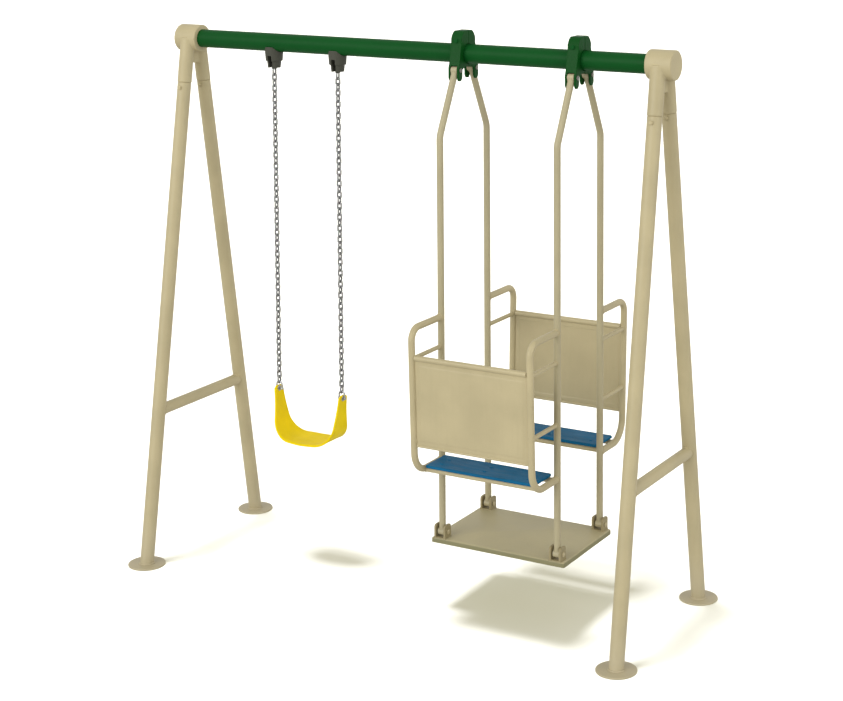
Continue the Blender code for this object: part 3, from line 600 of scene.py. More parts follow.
# Painted shade for the deck's upright flanges.
DECK_UPRIGHT_SHADE = (0.175, 0.165, 0.070)
BRACKET_BEIGE = (0.310, 0.255, 0.130)
ROD_BEIGE = (0.440, 0.385, 0.230)
GREEN = (0.0036, 0.077, 0.0120)
GREEN_CAST = (0.0020, 0.064, 0.0066)
BLUE = (0.0015, 0.124, 0.262)
YELLOW = (0.94, 0.70, 0.003)
BLACK = (0.066, 0.067, 0.048)
ZINC = (0.50, 0.51, 0.52)
ZINC_WEATHERED = (0.36, 0.36, 0.35)
ZINC_DULLED = (0.27, 0.26, 0.22)
DUST = (0.42, 0.38, 0.30)
BEIGE_COAT = "beige_powder_coat"
GREEN_COAT = "green_powder_coat"
FINISHES = {  # material slot, material
    "beige": (BEIGE_COAT, painted_steel(f"{BEIGE_COAT}_pipe", BEIGE, 0.42)),
    "beige_cast": (BEIGE_COAT, painted_steel(f"{BEIGE_COAT}_cast", BEIGE, 0.46, True)),
    "beige_bracket": (BEIGE_COAT, painted_steel(f"{BEIGE_COAT}_bracket", BRACKET_BEIGE, 0.52, True)),
    # The deck's finish paints shade onto its upright flanges.
    "beige_deck": (BEIGE_COAT, painted_steel(f"{BEIGE_COAT}_deck", DECK_BEIGE, 0.50, upright_shade=DECK_UPRIGHT_SHADE)),
    "beige_rod": (BEIGE_COAT, painted_steel(f"{BEIGE_COAT}_rod", ROD_BEIGE, 0.40)),
    "green": (GREEN_COAT, painted_steel(f"{GREEN_COAT}_pipe", GREEN, 0.42, shine=0.09)),
    "green_cast": (GREEN_COAT, painted_steel(f"{GREEN_COAT}_cast", GREEN_CAST, 0.42, True, shine=0.12)),
    "blue": ("blue_board", moulded_board("blue_grained_board", BLUE)),
    "yellow": ("yellow_rubber", moulded_rubber("yellow_moulded_rubber", YELLOW)),
    "black": ("black_paint", painted_steel("black_cast_paint", BLACK, 0.50, True, shine=0.3)),
    "zinc": ("zinc_steel", plated_steel("zinc_plating", ZINC, 0.40)),
    "zinc_chain": ("zinc_steel", plated_steel("zinc_plating_weathered", ZINC_WEATHERED, 0.48, 0.75)),
    "zinc_dull": ("zinc_steel", plated_steel("zinc_plating_dulled", ZINC_DULLED, 0.55, 0.6)),
}


def shown(name, bm, finish, body, angle=35.0):
    """A piece that rides on a body, in one of the finishes."""
    slot_name, mat = FINISHES[finish]
    obj = new_object(name, bm, mat, angle)
    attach(obj, body)
    return obj


def dress(node, bm, finish, angle=35.0):
    """The piece that stands for one CAD node."""
    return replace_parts(shown(f"{node}_look", bm, finish, BODY_OF[node], angle), node)


# ---- the fixed frame
def leg_point(side_name, hand, z):
    foot = centre(f"foot_plate_{side_name}_{hand}")
    foot.z = 0.0
    return foot.lerp(Vector((foot.x, SIDES[side_name] * LEG_SPREAD_TOP, BEAM_Z)), z / BEAM_Z)


def build_beam():
    """Pipe with chamfered ends and the slight ridge of its lengthwise factory weld."""
    low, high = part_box("beam")
    bm = bmesh.new()
    stations = [low.x, low.x + BEAM_CHAMFER, high.x - BEAM_CHAMFER, high.x]
    radii = [BEAM_R - BEAM_CHAMFER, BEAM_R, BEAM_R, BEAM_R - BEAM_CHAMFER]
    sweep(bm, [(x, 0, BEAM_Z) for x in stations], radii, ACROSS, 72)
    seam = Vector((0, -math.cos(SEAM_ANGLE), math.sin(SEAM_ANGLE))) * (BEAM_R - SEAM_SINK)
    ends = [Vector((x, 0, BEAM_Z)) + seam for x in (low.x + SEAM_MARGIN, high.x - SEAM_MARGIN)]
    sweep(bm, ends, SEAM_R, ACROSS, 8)
    dress("beam", bm, "green")


def build_corner_casting(hand):
    """Sleeve with a closed end and two stubs that flow into it, as one sand casting."""
    node = f"corner_casting_{hand}"
    low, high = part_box(node)
    sign = HANDS[hand]
    inner_x = low.x if sign > 0 else high.x
    length = high.x - low.x
    bm = bmesh.new()
    profile = soft_profile(drum(length, CASTING_R), CASTING_RIM, 4)
    lathe(bm, profile, (inner_x, 0, BEAM_Z), (sign, 0, 0), 72)
    x = leg_point("front", hand, 0).x
    for side_name in SIDES:
        top = leg_point(side_name, hand, BEAM_Z)
        sweep(bm, [leg_point(side_name, hand, STUB_END_Z), top], STUB_R, ALONG, 48)
        sweep(bm, [leg_point(side_name, hand, SPIGOT_END_Z), top], SPIGOT_R, ALONG, 40)
    web = [leg_point(side, hand, z) for side, z in (("front", BEAM_Z), ("front", CASTING_WEB_Z),
                                                   ("rear", CASTING_WEB_Z), ("rear", BEAM_Z))]
    stack(bm, [[Vector((x + dx, p.y, p.z)) for p in web] for dx in (-CASTING_WEB_HALF, CASTING_WEB_HALF)])
    dress(node, cast(bm, *CORNER_SKIN), "beige_cast", 60.0)


def build_leg(side_name, hand):
    """Pipe from its foot plate to the casting, chamfered at the top and welded at the foot."""
    foot_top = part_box(f"foot_plate_{side_name}_{hand}")[1].z
    end_z = LEG_TOP_Z - LEG_GAP
    heights = [foot_top * FOOT_SHARE, *LEG_STATIONS, end_z - LEG_CHAMFER, end_z]
    points = [leg_point(side_name, hand, z) for z in heights]
    radii = [LEG_R] * (len(points) - 1) + [LEG_R - LEG_CHAMFER]
    bm = bmesh.new()
    sweep(bm, points, radii, ALONG, 48)
    collar = foot_top + COLLAR_RISE
    lathe(bm, drum(collar, LEG_R), leg_point(side_name, hand, 0) + UP * COLLAR_LIFT, UP, 48)
    lean = points[-1] - points[0]
    seam = level_ring(points[0], lean, LEG_R + BEAD_LIFT, foot_top + BEAD_LIFT, 84)
    weld(bm, seam, LARGE_WELD, 42)
    dress(f"leg_{side_name}_{hand}", bm, "beige")


def build_foot_plate(side_name, hand):
    node = f"foot_plate_{side_name}_{hand}"
    low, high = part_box(node)
    middle = centre(node)
    profile = soft_profile(drum(high.z - low.z, FOOT_R), FOOT_RIM, 4)
    bm = bmesh.new()
    lathe(bm, profile, (middle.x, middle.y, low.z), UP, 96)
    dress(node, bm, "beige")


def build_bolt(node, head_side, hex_r, finish):
    """Hexagon bolt along Y, head on the front (-1) or on the rear (1), washers under head and nut.

    Its sizes follow hex_r, the corner radius of the hexagons.
    """
    low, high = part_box(node)
    middle = centre(node)
    head_y, nut_y = (low.y, high.y) if head_side < 0 else (high.y, low.y)
    head_seat = Vector((middle.x, head_y - head_side * BOLT_HEAD, middle.z))
    nut_seat = Vector((middle.x, nut_y + head_side * NUT_AND_TIP, middle.z))
    out = (head_seat - nut_seat).normalized()
    bm = bmesh.new()
    for seat, way, height in ((head_seat, out, hex_r * 0.62), (nut_seat, -out, hex_r * 0.80)):
        lathe(bm, [(0, BOLT_R), (0, hex_r * 1.18), (WASHER * 0.7, hex_r * 1.18),
                   (WASHER, hex_r * 1.12), (WASHER, BOLT_R)], seat, way, 28, closed=True)
        lathe(bm, [(WASHER, hex_r), (height * 0.82, hex_r), (height, hex_r * 0.86), (height, 0)],
              seat, way, 6)
    tip = hex_r * 0.80 + 0.002
    lathe(bm, soft_profile(drum(tip, BOLT_R), 0.0006, 2), nut_seat, -out, 16)
    lathe(bm, [(0, BOLT_R), ((head_seat - nut_seat).length, BOLT_R)], nut_seat, out, 16)
    dress(node, bm, finish)


def build_pin(node, finish, sizes=PIVOT_PIN, out=0.0):
    """Pin along X; its heads stand out past the CAD pin by out."""
    low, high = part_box(node)
    middle = centre(node)
    bm = bmesh.new()
    headed_pin(bm, (low.x - out, middle.y, middle.z), high.x + out, *sizes)
    dress(node, bm, finish)


def build_recast(node, skin, finish):
    """A casting whose shape is the CAD node's own, with softened edges."""
    dress(node, cast(node_mesh(node), *skin), finish, 60.0)


def build_cross_brace(hand):
    """Pipe coped onto both legs, with a weld round each end."""
    node = f"cross_brace_{hand}"
    z = centre(node).z
    bm = bmesh.new()
    ends = [leg_point(side_name, hand, z) for side_name in SIDES]
    sweep(bm, [ends[0].lerp(ends[1], t) for t in BRACE_STATIONS], BRACE_R, ALONG, 40)
    middle = (ends[0] + ends[1]) / 2
    for side_name, end in zip(SIDES, ends):
        lean = leg_point(side_name, hand, BEAM_Z) - leg_point(side_name, hand, 0)
        seam = saddle(middle, end - middle, BRACE_R, end, lean, LEG_R + BEAD_LIFT, 72)
        weld(bm, seam, BRACE_WELD, 36)
    dress(node, bm, "beige")


def build_hanger(hand):
    """Bell-shaped casting under the beam with a slot for the yoke."""
    node = f"swing_hanger_{hand}"
    low_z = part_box(node)[0].z
    x = CHAIN_X[hand]
    bm = bmesh.new()
    bell = BEAM_Z - HANGER_TOP_DROP - HANGER_WAIST_Z
    lathe(bm, drum(bell, HANGER_WAIST_R, HANGER_TOP_R), (x, 0, HANGER_WAIST_Z), UP, 56)
    nose = HANGER_WAIST_Z + HANGER_NOSE_RISE - low_z
    lathe(bm, drum(nose, HANGER_BOTTOM_R, HANGER_NOSE_R), (x, 0, low_z), UP, 56)
    cutter = bmesh.new()
    bed = [(x - HANGER_REACH, 0, BEAM_Z), (x + HANGER_REACH, 0, BEAM_Z)]
    sweep(cutter, bed, BEAM_R + HANGER_FIT, ACROSS, 64)
    slot_low, slot_high = HANGER_SLOT_Z
    block(cutter, (x - HANGER_SLOT_HALF, -HANGER_REACH, slot_low),
          (x + HANGER_SLOT_HALF, HANGER_REACH, slot_high), HANGER_SLOT_BEVEL)
    voxel, passes = HANGER_SKIN
    dress(node, cast(bm, voxel, passes, cutter), "black", 60.0)


# ---- the glider
def build_rod(side_name, hand):
    """Bent pipe with a welded eye at each end."""
    side = SIDES[side_name]
    x = ROD_X[hand]
    top = Vector((x, side * TOP_PIVOT.y, TOP_PIVOT.z))
    bend = Vector((x, side * ROD_SPREAD, ROD_BEND_Z))
    bottom = Vector((x, side * ROD_SPREAD, BOTTOM_PIVOT_Z))
    bm = bmesh.new()
    low_end = bottom + UP * ROD_INSET
    high_end = top + (bend - top).normalized() * ROD_INSET
    sweep(bm, rounded_path([low_end, bend, high_end], ROD_BEND_RADIUS, 14), ROD_R, ALONG, 28)
    half = EYE_HALF_WIDTH
    eye = [(-half, EYE_BORE_R), (-half, EYE_R - EYE_LIP), (-half + EYE_LIP, EYE_R),
           (half - EYE_LIP, EYE_R), (half, EYE_R - EYE_LIP), (half, EYE_BORE_R)]
    for end in (bottom, top):
        lathe(bm, eye, end, ALONG, 40, closed=True)
        on_pipe = end.lerp(bend, 0.2)
        weld(bm, saddle(on_pipe, end - bend, ROD_R, end, ALONG, EYE_R, 60), FINE_WELD, 24)
    dress(f"glider_rod_{side_name}_{hand}", bm, "beige_rod")


def seat_back_spread(z):
    """Distance from the mid-plane to the middle of a leaning upright."""
    rise = (z - ARM_BOTTOM_Z) / (ARM_TOP_Z - ARM_BOTTOM_Z)
    return SEAT_SPREAD_BOTTOM + (SEAT_SPREAD_TOP - SEAT_SPREAD_BOTTOM) * rise


def arm_path(side, x):
    """Middle of a side frame's pipe, from the rod out, down and back to the rod."""
    root_y = side * (ROD_SPREAD + ARM_ROOT)
    corners = [(x, root_y, ARM_TOP_Z), (x, side * SEAT_SPREAD_TOP, ARM_TOP_Z),
               (x, side * SEAT_SPREAD_BOTTOM, ARM_BOTTOM_Z), (x, root_y, ARM_BOTTOM_Z)]
    upper = rounded_path(corners[:3], ARM_TOP_BEND, 16)[:-1]
    return upper + rounded_path(corners[1:], ARM_BOTTOM_BEND, 18)[1:]


def build_seat_arm(side_name, hand):
    """C-shaped pipe with two thin bars back to the rod, welded to the rod and to itself."""
    side = SIDES[side_name]
    x = ROD_X[hand]
    out = ACROSS * side
    rod = Vector((x, side * ROD_SPREAD, 0))
    bm = bmesh.new()
    sweep(bm, arm_path(side, x), ROD_R, ALONG, 28)
    for z in ARM_BRACE_Z:
        root = Vector((x, side * (ROD_SPREAD + ARM_ROOT), z))
        back = Vector((x, side * seat_back_spread(z), z))
        sweep(bm, [root, back - out * ARM_ROOT], ARM_BRACE_R, ALONG, 20)
        weld(bm, saddle(root, out, ARM_BRACE_R, back, UP, ROD_R + FINE_LIFT), FINE_WELD, 20)
    joins = [(ARM_TOP_Z, ROD_R), (ARM_BOTTOM_Z, ROD_R)] + [(z, ARM_BRACE_R) for z in ARM_BRACE_Z]
    for z, pipe_r in joins:
        start = Vector((x, side * (ROD_SPREAD + ARM_STRAIGHT), z))
        weld(bm, saddle(start, -out, pipe_r, rod, UP, ROD_R + SMALL_LIFT), SMALL_WELD, 24)
    dress(f"seat_arm_{side_name}_{hand}", bm, "beige")


def field_push(x, z, low, high, top_z, bottom_z):
    """How far a backrest's pressed field stands out at a point of the sheet."""
    inside = min(x - low.x, high.x - x, top_z - z, z - bottom_z) - FIELD_BORDER
    t = min(1.0, max(0.0, inside / FIELD_SLOPE))
    return FIELD_DEPTH * t * t * (3 - 2 * t)


def spaced(low, high, fine, coarse_count):
    """Positions from low to high, close together across the field's sloping border."""
    near = [0.0] + [FIELD_BORDER + FIELD_SLOPE * i / fine for i in range(fine + 1)]
    left = [low + step for step in near]
    right = [high - step for step in reversed(near)]
    span = right[0] - left[-1]
    middle = [left[-1] + span * i / coarse_count for i in range(1, coarse_count)]
    return left + middle + right


def build_backrest(side_name):
    """Sheet with a rolled top edge, a hemmed bottom edge and a shallow pressed field."""
    node = f"backrest_{side_name}"
    side = SIDES[side_name]
    low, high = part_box(node)
    top_z = high.z - ROLL_R
    bottom_z = low.z + HEM_R
    roll_neck = math.asin(SHEET / 2 / ROLL_R)
    hem_neck = math.asin(SHEET / 2 / HEM_R)
    sheet_top = top_z - ROLL_R
    sheet_bottom = bottom_z + HEM_R
    heights = spaced(sheet_bottom, sheet_top, 8, 10)[1:-1]

    def arc(middle_z, radius, start, sweep_angle, steps):
        angles = (start + sweep_angle * i / steps for i in range(steps + 1))
        return [(radius * math.cos(a), middle_z + radius * math.sin(a), False) for a in angles]

    outline = arc(top_z, ROLL_R, -math.pi / 2 + roll_neck, 2 * math.pi - 2 * roll_neck, 28)
    outline += [(-SHEET / 2, z, True) for z in reversed(heights)]
    outline += arc(bottom_z, HEM_R, math.pi / 2 + hem_neck, 2 * math.pi - 2 * hem_neck, 14)
    outline += [(SHEET / 2, z, True) for z in heights]
    rings = []
    for x in spaced(low.x, high.x, 8, 20):
        ring = []
        for offset, z, on_sheet in outline:
            push = field_push(x, z, low, high, sheet_top, sheet_bottom) if on_sheet else 0.0
            ring.append(Vector((x, side * (seat_back_spread(z) + offset + push), z)))
        rings.append(ring)
    bm = bmesh.new()
    stack(bm, rings)
    for x in (low.x, high.x):
        for share in BACK_TACKS:
            z = bottom_z + (top_z - bottom_z) * share
            tack(bm, Vector((x, side * (seat_back_spread(z) + BACK_TACK_OUT), z)), UP, *BACK_TACK)
    dress(node, bm, "beige", 45.0)


def build_seat_rails(side_name):
    """Two pipes between the side frames, tied by flat straps; everything is welded."""
    node = f"seat_rails_{side_name}"
    low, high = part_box(node)
    rail_y = [low.y + RAIL_R, high.y - RAIL_R]
    bm = bmesh.new()
    for y in rail_y:
        ends = [(low.x - ARM_ROOT, y, ARM_BOTTOM_Z), (high.x + ARM_ROOT, y, ARM_BOTTOM_Z)]
        sweep(bm, ends, RAIL_R, ACROSS, 24)
        middle = Vector(((low.x + high.x) / 2, y, ARM_BOTTOM_Z))
        for hand, sign in HANDS.items():
            arm = Vector((ROD_X[hand], y, ARM_BOTTOM_Z))
            weld(bm, saddle(middle, ALONG * sign, RAIL_R, arm, ACROSS, ROD_R + FINE_LIFT), RAIL_WELD, 22)
    half_thick = STRAP_THICK / 2
    for x in STRAP_X:
        block(bm, (x - STRAP_HALF_WIDTH, rail_y[0] + STRAP_INSET, ARM_BOTTOM_Z - half_thick),
              (x + STRAP_HALF_WIDTH, rail_y[1] - STRAP_INSET, ARM_BOTTOM_Z + half_thick), STRAP_BEVEL)
        for y, way in zip(rail_y, (1, -1)):
            for edge in (-1, 1):
                spot = Vector((x, y + way * (RAIL_R + STRAP_TACK_OUT), ARM_BOTTOM_Z + edge * half_thick))
                tack(bm, spot, ALONG, 2 * STRAP_HALF_WIDTH, STRAP_TACK_R)
    dress(node, bm, "beige")


def level_outline(node, inset, corner, counts, z, scale=1.0):
    """Rounded rectangle inset from the sides of a node's box, at height z, scaled about its middle."""
    low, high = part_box(node)
    middle = centre(node)
    half_x = (high.x - low.x) / 2
    half_y = (high.y - low.y) / 2
    outline = rounded_rectangle(half_x - inset, half_y - inset, corner, *counts)
    return [Vector((middle.x + p.x * scale, middle.y + p.y * scale, z)) for p in outline]


def build_seat_board(side_name):
    """Plank with rounded edges, dished a little, on carriage bolts through the straps."""
    node = f"seat_board_{side_name}"
    low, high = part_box(node)
    middle = centre(node)

    def ring(inset, z, scale=1.0):
        return level_outline(node, inset, BOARD_CORNER - inset, (6, 16), z, scale)

    quarter = [math.radians(a) for a in (0, 22.5, 45, 67.5, 90)]
    curve = [(BOARD_EDGE * (1 - math.sin(a)), BOARD_EDGE * (1 - math.cos(a))) for a in quarter]
    rings = [ring(inset, low.z + rise) for inset, rise in curve]
    rings += [ring(inset, high.z - drop) for drop, inset in curve]
    for scale in (0.94, 0.85, 0.7, 0.5, 0.25):
        sink = BOARD_DISH * (1 - scale ** 2)
        rings.append(ring(BOARD_EDGE, high.z - sink, scale))
    rings.append([Vector((middle.x, middle.y, high.z - BOARD_DISH))])
    bm = bmesh.new()
    stack(bm, rings)
    dress(node, bm, "blue")
    bolts = bmesh.new()
    for x in STRAP_X:
        for y in (middle.y - BOARD_BOLT_Y, middle.y + BOARD_BOLT_Y):
            profile = [(BOARD_BOLT_DOME * math.cos(a), BOARD_BOLT_R * math.sin(a)) for a in quarter]
            profile += [(-BOARD_BOLT_DOME, BOARD_BOLT_R), (-BOARD_BOLT_DOME, 0)]
            lathe(bolts, profile, (x, y, high.z - BOARD_BOLT_SINK), UP, 24)
    shown(f"seat_board_bolts_{side_name}", bolts, "blue", BODY_OF[node])


def build_bushes(side_name):
    """Black nylon washers between the rods' eyes and the brackets that carry them."""
    side = SIDES[side_name]
    bm = bmesh.new()
    for hand in HANDS:
        for y, z, width in ((TOP_PIVOT.y, TOP_PIVOT.z, TOP_BUSH), (ROD_SPREAD, BOTTOM_PIVOT_Z, BOTTOM_BUSH)):
            for sign in (-1, 1):
                start = Vector((ROD_X[hand] + sign * EYE_HALF_WIDTH, side * y, z))
                lathe(bm, [(0, EYE_BORE_R), (0, BUSH_R), (width, BUSH_R), (width, EYE_BORE_R)],
                      start, ALONG * sign, 28, closed=True)
    shown(f"pivot_bushes_{side_name}", bm, "black", f"{side_name}_hanger")


# ---- the foot platform
def build_deck():
    """Folded sheet: rounded bends, four flanges, and crossed creases that stiffen the top."""
    node = "platform_deck"
    low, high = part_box(node)
    middle = centre(node)

    def ring(inset, z, scale=1.0):
        return level_outline(node, inset, max(DECK_BEND - inset, DECK_LEAST_CORNER), (5, 14), z, scale)

    def skin(inset):
        """Rings of one face of the sheet, from the flange's lower edge to the middle of the top."""
        bend = DECK_BEND - inset
        top_z = high.z - inset
        rings = [ring(inset, low.z)]
        for angle in (math.radians(a) for a in (0, 18, 36, 54, 72, 90)):
            rings.append(ring(inset + bend * (1 - math.cos(angle)), top_z - bend * (1 - math.sin(angle))))
        steps = 12
        for step in range(1, steps):
            rise = step / steps
            rings.append(ring(DECK_BEND, top_z + DECK_RISE * rise, 1 - rise))
        rings.append([Vector((middle.x, middle.y, top_z + DECK_RISE))])
        return rings

    bm = bmesh.new()
    stack(bm, skin(0.0) + list(reversed(skin(DECK_SHEET))), closed=True)
    dress(node, bm, "beige_deck", 30.0)


def build_clevis(side_name, hand):
    """Bent bracket with softened edges, welded along both sides of its foot."""
    node = f"clevis_{side_name}_{hand}"
    low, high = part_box(node)
    bm = cast(node_mesh(node), *CLEVIS_SKIN)
    for x in (low.x, high.x):
        for step in range(CLEVIS_TACKS):
            y = low.y + (high.y - low.y) * (step + 0.5) / CLEVIS_TACKS
            tack(bm, Vector((x, y, low.z + CLEVIS_TACK_LIFT)), ACROSS, CLEVIS_TACK_LENGTH, SMALL_WELD)
    dress(node, bm, "beige_bracket", 50.0)


# ---- the belt swing
def stadium(middle, across, half_width, half_length):
    """Closed path of an upright chain link: two half circles joined by straight wires."""
    steps = 7
    points = []
    for sign in (1, -1):
        for step in range(steps + 1):
            angle = math.pi * step / steps
            offset = across * math.cos(angle) * half_width * sign
            rise = UP * (half_length - half_width + math.sin(angle) * half_width) * sign
            points.append(middle + offset + rise)
    return points


def build_chain(hand):
    """Welded links, each turned a quarter against the next, from the yoke to the shackle."""
    node = f"swing_chain_{hand}"
    low_z = BELT_PIVOT_Z + SHACKLE_RISE + SHACKLE_HALF - SHACKLE_R
    high_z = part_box(node)[1].z
    count = 2 * round((high_z - low_z) / LINK_PITCH / 2) - 1
    pitch = (high_z - low_z) / count
    bm = bmesh.new()
    for i in range(count):
        middle = Vector((CHAIN_X[hand], 0, low_z + pitch * (i + 0.5)))
        across, normal = (ACROSS, ALONG) if i % 2 == 0 else (ALONG, ACROSS)
        path = stadium(middle, across, (LINK_WIDTH - LINK_WIRE) / 2, (pitch + LINK_WIRE) / 2)
        sweep(bm, path, LINK_WIRE / 2, normal, 8, closed=True)
    dress(node, bm, "zinc_chain", 50.0)


def build_shackle(hand):
    """Bow over the belt's end with a pin through the belt's eyelet."""
    z = belt_eyelet(hand)[0].z
    x = CHAIN_X[hand]
    bm = bmesh.new()
    angles = (math.pi * (1 - step / 12) for step in range(13))
    arc = [(x + SHACKLE_HALF * math.cos(a), 0, z + SHACKLE_RISE + SHACKLE_HALF * math.sin(a)) for a in angles]
    sweep(bm, [(x - SHACKLE_HALF, 0, z), *arc, (x + SHACKLE_HALF, 0, z)], SHACKLE_R, ACROSS, 12)
    half, radius = SHACKLE_BOSS
    boss = soft_profile([(-half, 0), (-half, radius), (half, radius), (half, 0)], 0.001, 2)
    for sign in (-1, 1):
        lathe(bm, boss, (x + sign * SHACKLE_HALF, 0, z), ALONG, 20)
    reach = SHACKLE_HALF + SHACKLE_PIN_OUT
    headed_pin(bm, (x - reach, 0, z), x + reach, *SHACKLE_PIN)
    shown(f"belt_shackle_{hand}", bm, "zinc", "belt_chains")


def belt_path():
    x = centre("belt_seat").x
    corners = [(x - BELT_HALF, 0, BELT_TOP_Z), (x - BELT_HALF + BELT_LEAN, 0, BELT_BOTTOM_Z),
               (x, 0, BELT_BOTTOM_Z - BELT_SAG),
               (x + BELT_HALF - BELT_LEAN, 0, BELT_BOTTOM_Z), (x + BELT_HALF, 0, BELT_TOP_Z)]
    coarse = rounded_path(corners, BELT_BEND_RADIUS, 14)
    fine = []
    for a, b in zip(coarse, coarse[1:]):
        pieces = max(1, math.ceil((b - a).length / BELT_STEP))
        fine += [a.lerp(b, i / pieces) for i in range(pieces)]
    return fine + [coarse[-1]]


def belt_eyelet(hand):
    """(middle of the eyelet, normal of the belt there)."""
    path = belt_path()
    ends = path if hand == "left" else list(reversed(path))
    for a, b in zip(ends, ends[1:]):
        if a.z >= BELT_PIVOT_Z >= b.z:
            normal = (b - a).normalized().cross(ACROSS)
            return a.lerp(b, (a.z - BELT_PIVOT_Z) / (a.z - b.z)), normal
    return ends[0], ALONG


def belt_half_depth(length, total):
    """Half the belt's depth at a distance along it, with rounded corners at both ends."""
    fraction = abs(2 * length / total - 1)
    widen = 0.5 + 0.5 * math.cos(math.pi * fraction)
    depth = BELT_HALF_DEPTH_END + (BELT_HALF_DEPTH_MID - BELT_HALF_DEPTH_END) * widen
    from_end = min(length, total - length)
    if from_end < BELT_CORNER:
        depth += math.sqrt(BELT_CORNER ** 2 - (BELT_CORNER - from_end) ** 2) - BELT_CORNER
    return depth


def belt_section(depth):
    """Cross-section of (y, thickness offset) pairs: a thin web between two round, thicker rims."""
    rim = BELT_THICK / 2
    web = BELT_WEB / 2
    points = []
    for sign in (1, -1):
        middle = sign * (depth - rim)
        for step in range(9):
            angle = math.radians(-90 + 22.5 * step) if sign > 0 else math.radians(90 + 22.5 * step)
            points.append((middle + rim * math.cos(angle), rim * math.sin(angle)))
        for y in (0.80, 0.62, 0.3, 0.0, -0.3, -0.62, -0.80):
            offset = web * 1.12 if abs(y) == 0.80 else web
            points.append((sign * y * (depth - rim), sign * offset))
    return points


def build_belt_seat():
    path = belt_path()
    lengths = [0.0]
    for a, b in zip(path, path[1:]):
        lengths.append(lengths[-1] + (b - a).length)
    total = lengths[-1]
    rings = []
    for i, (point, length) in enumerate(zip(path, lengths)):
        tangent = (path[min(i + 1, len(path) - 1)] - path[max(i - 1, 0)]).normalized()
        normal = tangent.cross(ACROSS)
        depth = belt_half_depth(length, total)
        rings.append([point + ACROSS * y + normal * offset for y, offset in belt_section(depth)])
    bm = bmesh.new()
    stack(bm, rings)
    dress("belt_seat", bm, "yellow", 50.0)
    eyelets = bmesh.new()
    half = BELT_THICK / 2 + EYELET_RIM
    bore, face, skirt = EYELET_R
    profile = [(-half, bore), (-half, face), (EYELET_RIM - half, skirt), (half - EYELET_RIM, skirt),
               (half, face), (half, bore)]
    for hand in HANDS:
        middle, normal = belt_eyelet(hand)
        lathe(eyelets, profile, middle, normal, 32, closed=True)
    shown("belt_eyelets", eyelets, "zinc", "belt_seat")


# ---- studio
CAMERA_HOME = Vector((4.152, -6.634, 3.139))
CAMERA_TURN = (1.4670, 0.0017, 0.4936)
CAMERA_LENS = 80.17  # millimetres on a 36 mm sensor
HOME_SHIFT = {"shift_x": -0.1333, "shift_y": -0.3636}
SKY_SIDE = 0.86  # strength of the surrounding light at the horizon
SKY_TOP = 0.60  # and straight above
FLOOR_TONE = (0.58, 0.58, 0.58, 1.0)
FLOOR_BOUNCE = 0.65
FLOOR_GLOW = {"Emission Color": (1.0, 0.88, 0.15, 1.0), "Emission Strength": 0.165}
FLOOR_SIZE = 80.0
FLOOR_DROP = 0.0005
KEY_LIGHT = {"direction": (0.30, 1.0, -0.42), "angle": 40.0, "strength": 1.30}
FILL_LIGHT = {"direction": (-1.0, 0.05, -0.30), "angle": 60.0, "strength": 0.85}
FLOOR_LIGHT = {"direction": (0.16, 0.10, -1.0), "angle": 14.0, "strength": 5.0}


def build_camera():
    """At its home place the lens is shifted; from any other place it looks straight ahead."""
    data = bpy.data.cameras.new("camera")
    camera = bpy.data.objects.new("camera", data)
    bpy.context.scene.collection.objects.link(camera)
    camera.location = CAMERA_HOME
    camera.rotation_euler = CAMERA_TURN
    data.sensor_width = 36.0
    data.lens = CAMERA_LENS
    for name, amount in HOME_SHIFT.items():
        driver = data.driver_add(name).driver
        driver.type = "SCRIPTED"
        variable = driver.variables.new()
        variable.name = "x"
        variable.type = "TRANSFORMS"
        target = variable.targets[0]
        target.id = camera
        target.transform_type = "LOC_X"
        target.transform_space = "WORLD_SPACE"
        driver.expression = f"{amount} if abs(x - {CAMERA_HOME.x:.3f}) < 0.001 else 0"
    bpy.context.scene.camera = camera


def build_floor():
    """Pale floor: lit and shadowed as the camera sees it, an even soft reflector to everything else."""
    bm = bmesh.new()
    bmesh.ops.create_grid(bm, x_segments=2, y_segments=2, size=FLOOR_SIZE)
    mat, tree, shader = start_material("pale_floor")[:3]
    set_inputs(tree, shader, {"Base Color": FLOOR_TONE, "Roughness": 0.9, SPECULAR: 0.0, **FLOOR_GLOW})
    reflector = add_node(tree, "ShaderNodeEmission", {"Color": (1, 1, 1, 1), "Strength": FLOOR_BOUNCE})
    seen = add_node(tree, "ShaderNodeLightPath").outputs["Is Camera Ray"]
    mixed = add_node(tree, "ShaderNodeMixShader",
                     {0: seen, 1: reflector.outputs[0], 2: shader.outputs[0]})
    tree.links.new(mixed.outputs[0], tree.nodes["Material Output"].inputs["Surface"])
    floor = new_object("floor", bm, mat)
    floor.location.z = -FLOOR_DROP
    return floor


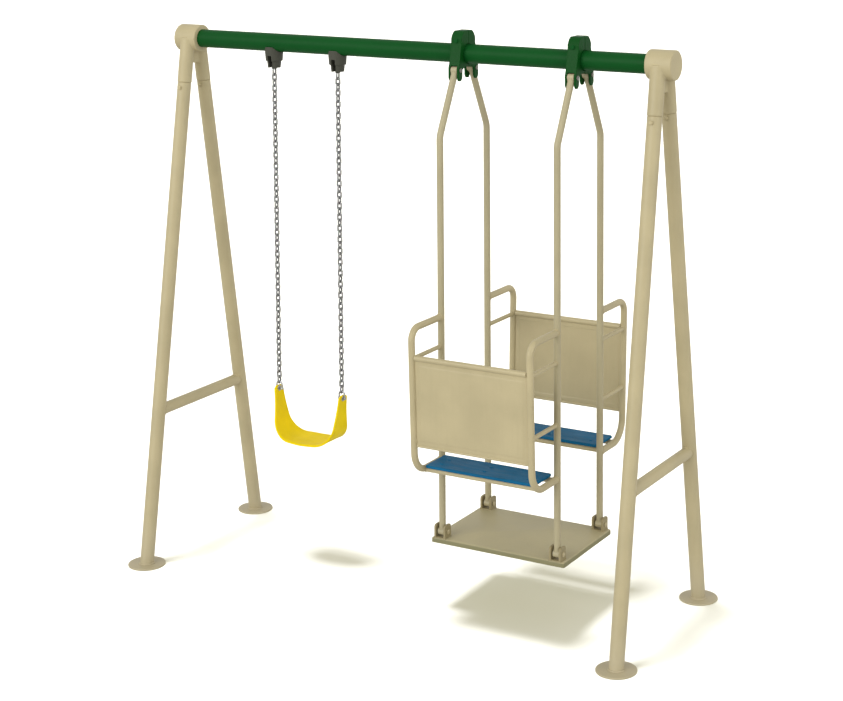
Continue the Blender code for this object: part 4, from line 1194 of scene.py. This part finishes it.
def build_world():
    """White to the camera; as a light source dimmer, and dimmest from straight above."""
    world = bpy.data.worlds.new("studio")
    world.use_nodes = True
    bpy.context.scene.world = world
    tree = world.node_tree
    tree.nodes.clear()
    coords = add_node(tree, "ShaderNodeTexCoord").outputs["Generated"]
    up = add_node(tree, "ShaderNodeSeparateXYZ", {"Vector": coords}).outputs["Z"]
    strength = ramp_between(tree, up, 0.0, 1.0, SKY_SIDE, SKY_TOP)
    lighting = add_node(tree, "ShaderNodeBackground", {"Color": (1, 1, 1, 1), "Strength": strength})
    backdrop = add_node(tree, "ShaderNodeBackground", {"Color": (1, 1, 1, 1), "Strength": 1.0})
    seen = add_node(tree, "ShaderNodeLightPath").outputs["Is Camera Ray"]
    mixed = add_node(tree, "ShaderNodeMixShader", {0: seen, 1: lighting.outputs[0], 2: backdrop.outputs[0]})
    add_node(tree, "ShaderNodeOutputWorld", {"Surface": mixed.outputs[0]})


def build_sun(name, direction, angle, strength, only=None):
    """Distant soft light, angle degrees wide, on everything or on one object only."""
    data = bpy.data.lights.new(name, "SUN")
    data.angle = math.radians(angle)
    data.energy = strength
    light = bpy.data.objects.new(name, data)
    bpy.context.scene.collection.objects.link(light)
    light.rotation_euler = Vector(direction).to_track_quat("-Z", "Y").to_euler()
    if only is not None:
        receivers = bpy.data.collections.new(f"{name}_receivers")
        receivers.objects.link(only)
        light.light_linking.receiver_collection = receivers


def build_studio():
    build_camera()
    floor = build_floor()
    build_world()
    build_sun("key", **KEY_LIGHT)
    build_sun("fill", **FILL_LIGHT)
    build_sun("floor_light", only=floor, **FLOOR_LIGHT)
    bpy.context.scene.view_settings.view_transform = "Standard"


# ---- assembly
def main():
    build_beam()
    for hand in HANDS:
        build_corner_casting(hand)
        build_cross_brace(hand)
        build_bolt(f"clamp_bolt_{hand}", -1, CLAMP_BOLT_HEX, "green")
        build_hanger(hand)
        build_pin(f"hanger_pin_{hand}", "zinc_dull", HANGER_PIN, HANGER_PIN_OUT)
        build_recast(f"swing_yoke_{hand}", YOKE_SKIN, "black")
        build_chain(hand)
        build_shackle(hand)
        for side_name, side in SIDES.items():
            build_leg(side_name, hand)
            build_foot_plate(side_name, hand)
            build_bolt(f"leg_bolt_{side_name}_{hand}", side, LEG_BOLT_HEX, "beige_cast")
            build_recast(f"clamp_{hand}_{side_name}_half", CLAMP_SKIN, "green_cast")
            build_rod(side_name, hand)
            build_seat_arm(side_name, hand)
            build_clevis(side_name, hand)
            build_pin(f"top_pin_{side_name}_{hand}", "zinc_dull")
            build_pin(f"bottom_pin_{side_name}_{hand}", "beige_cast")
    for side_name in SIDES:
        build_backrest(side_name)
        build_seat_rails(side_name)
        build_seat_board(side_name)
        build_bushes(side_name)
    build_deck()
    build_belt_seat()
    build_studio()


main()
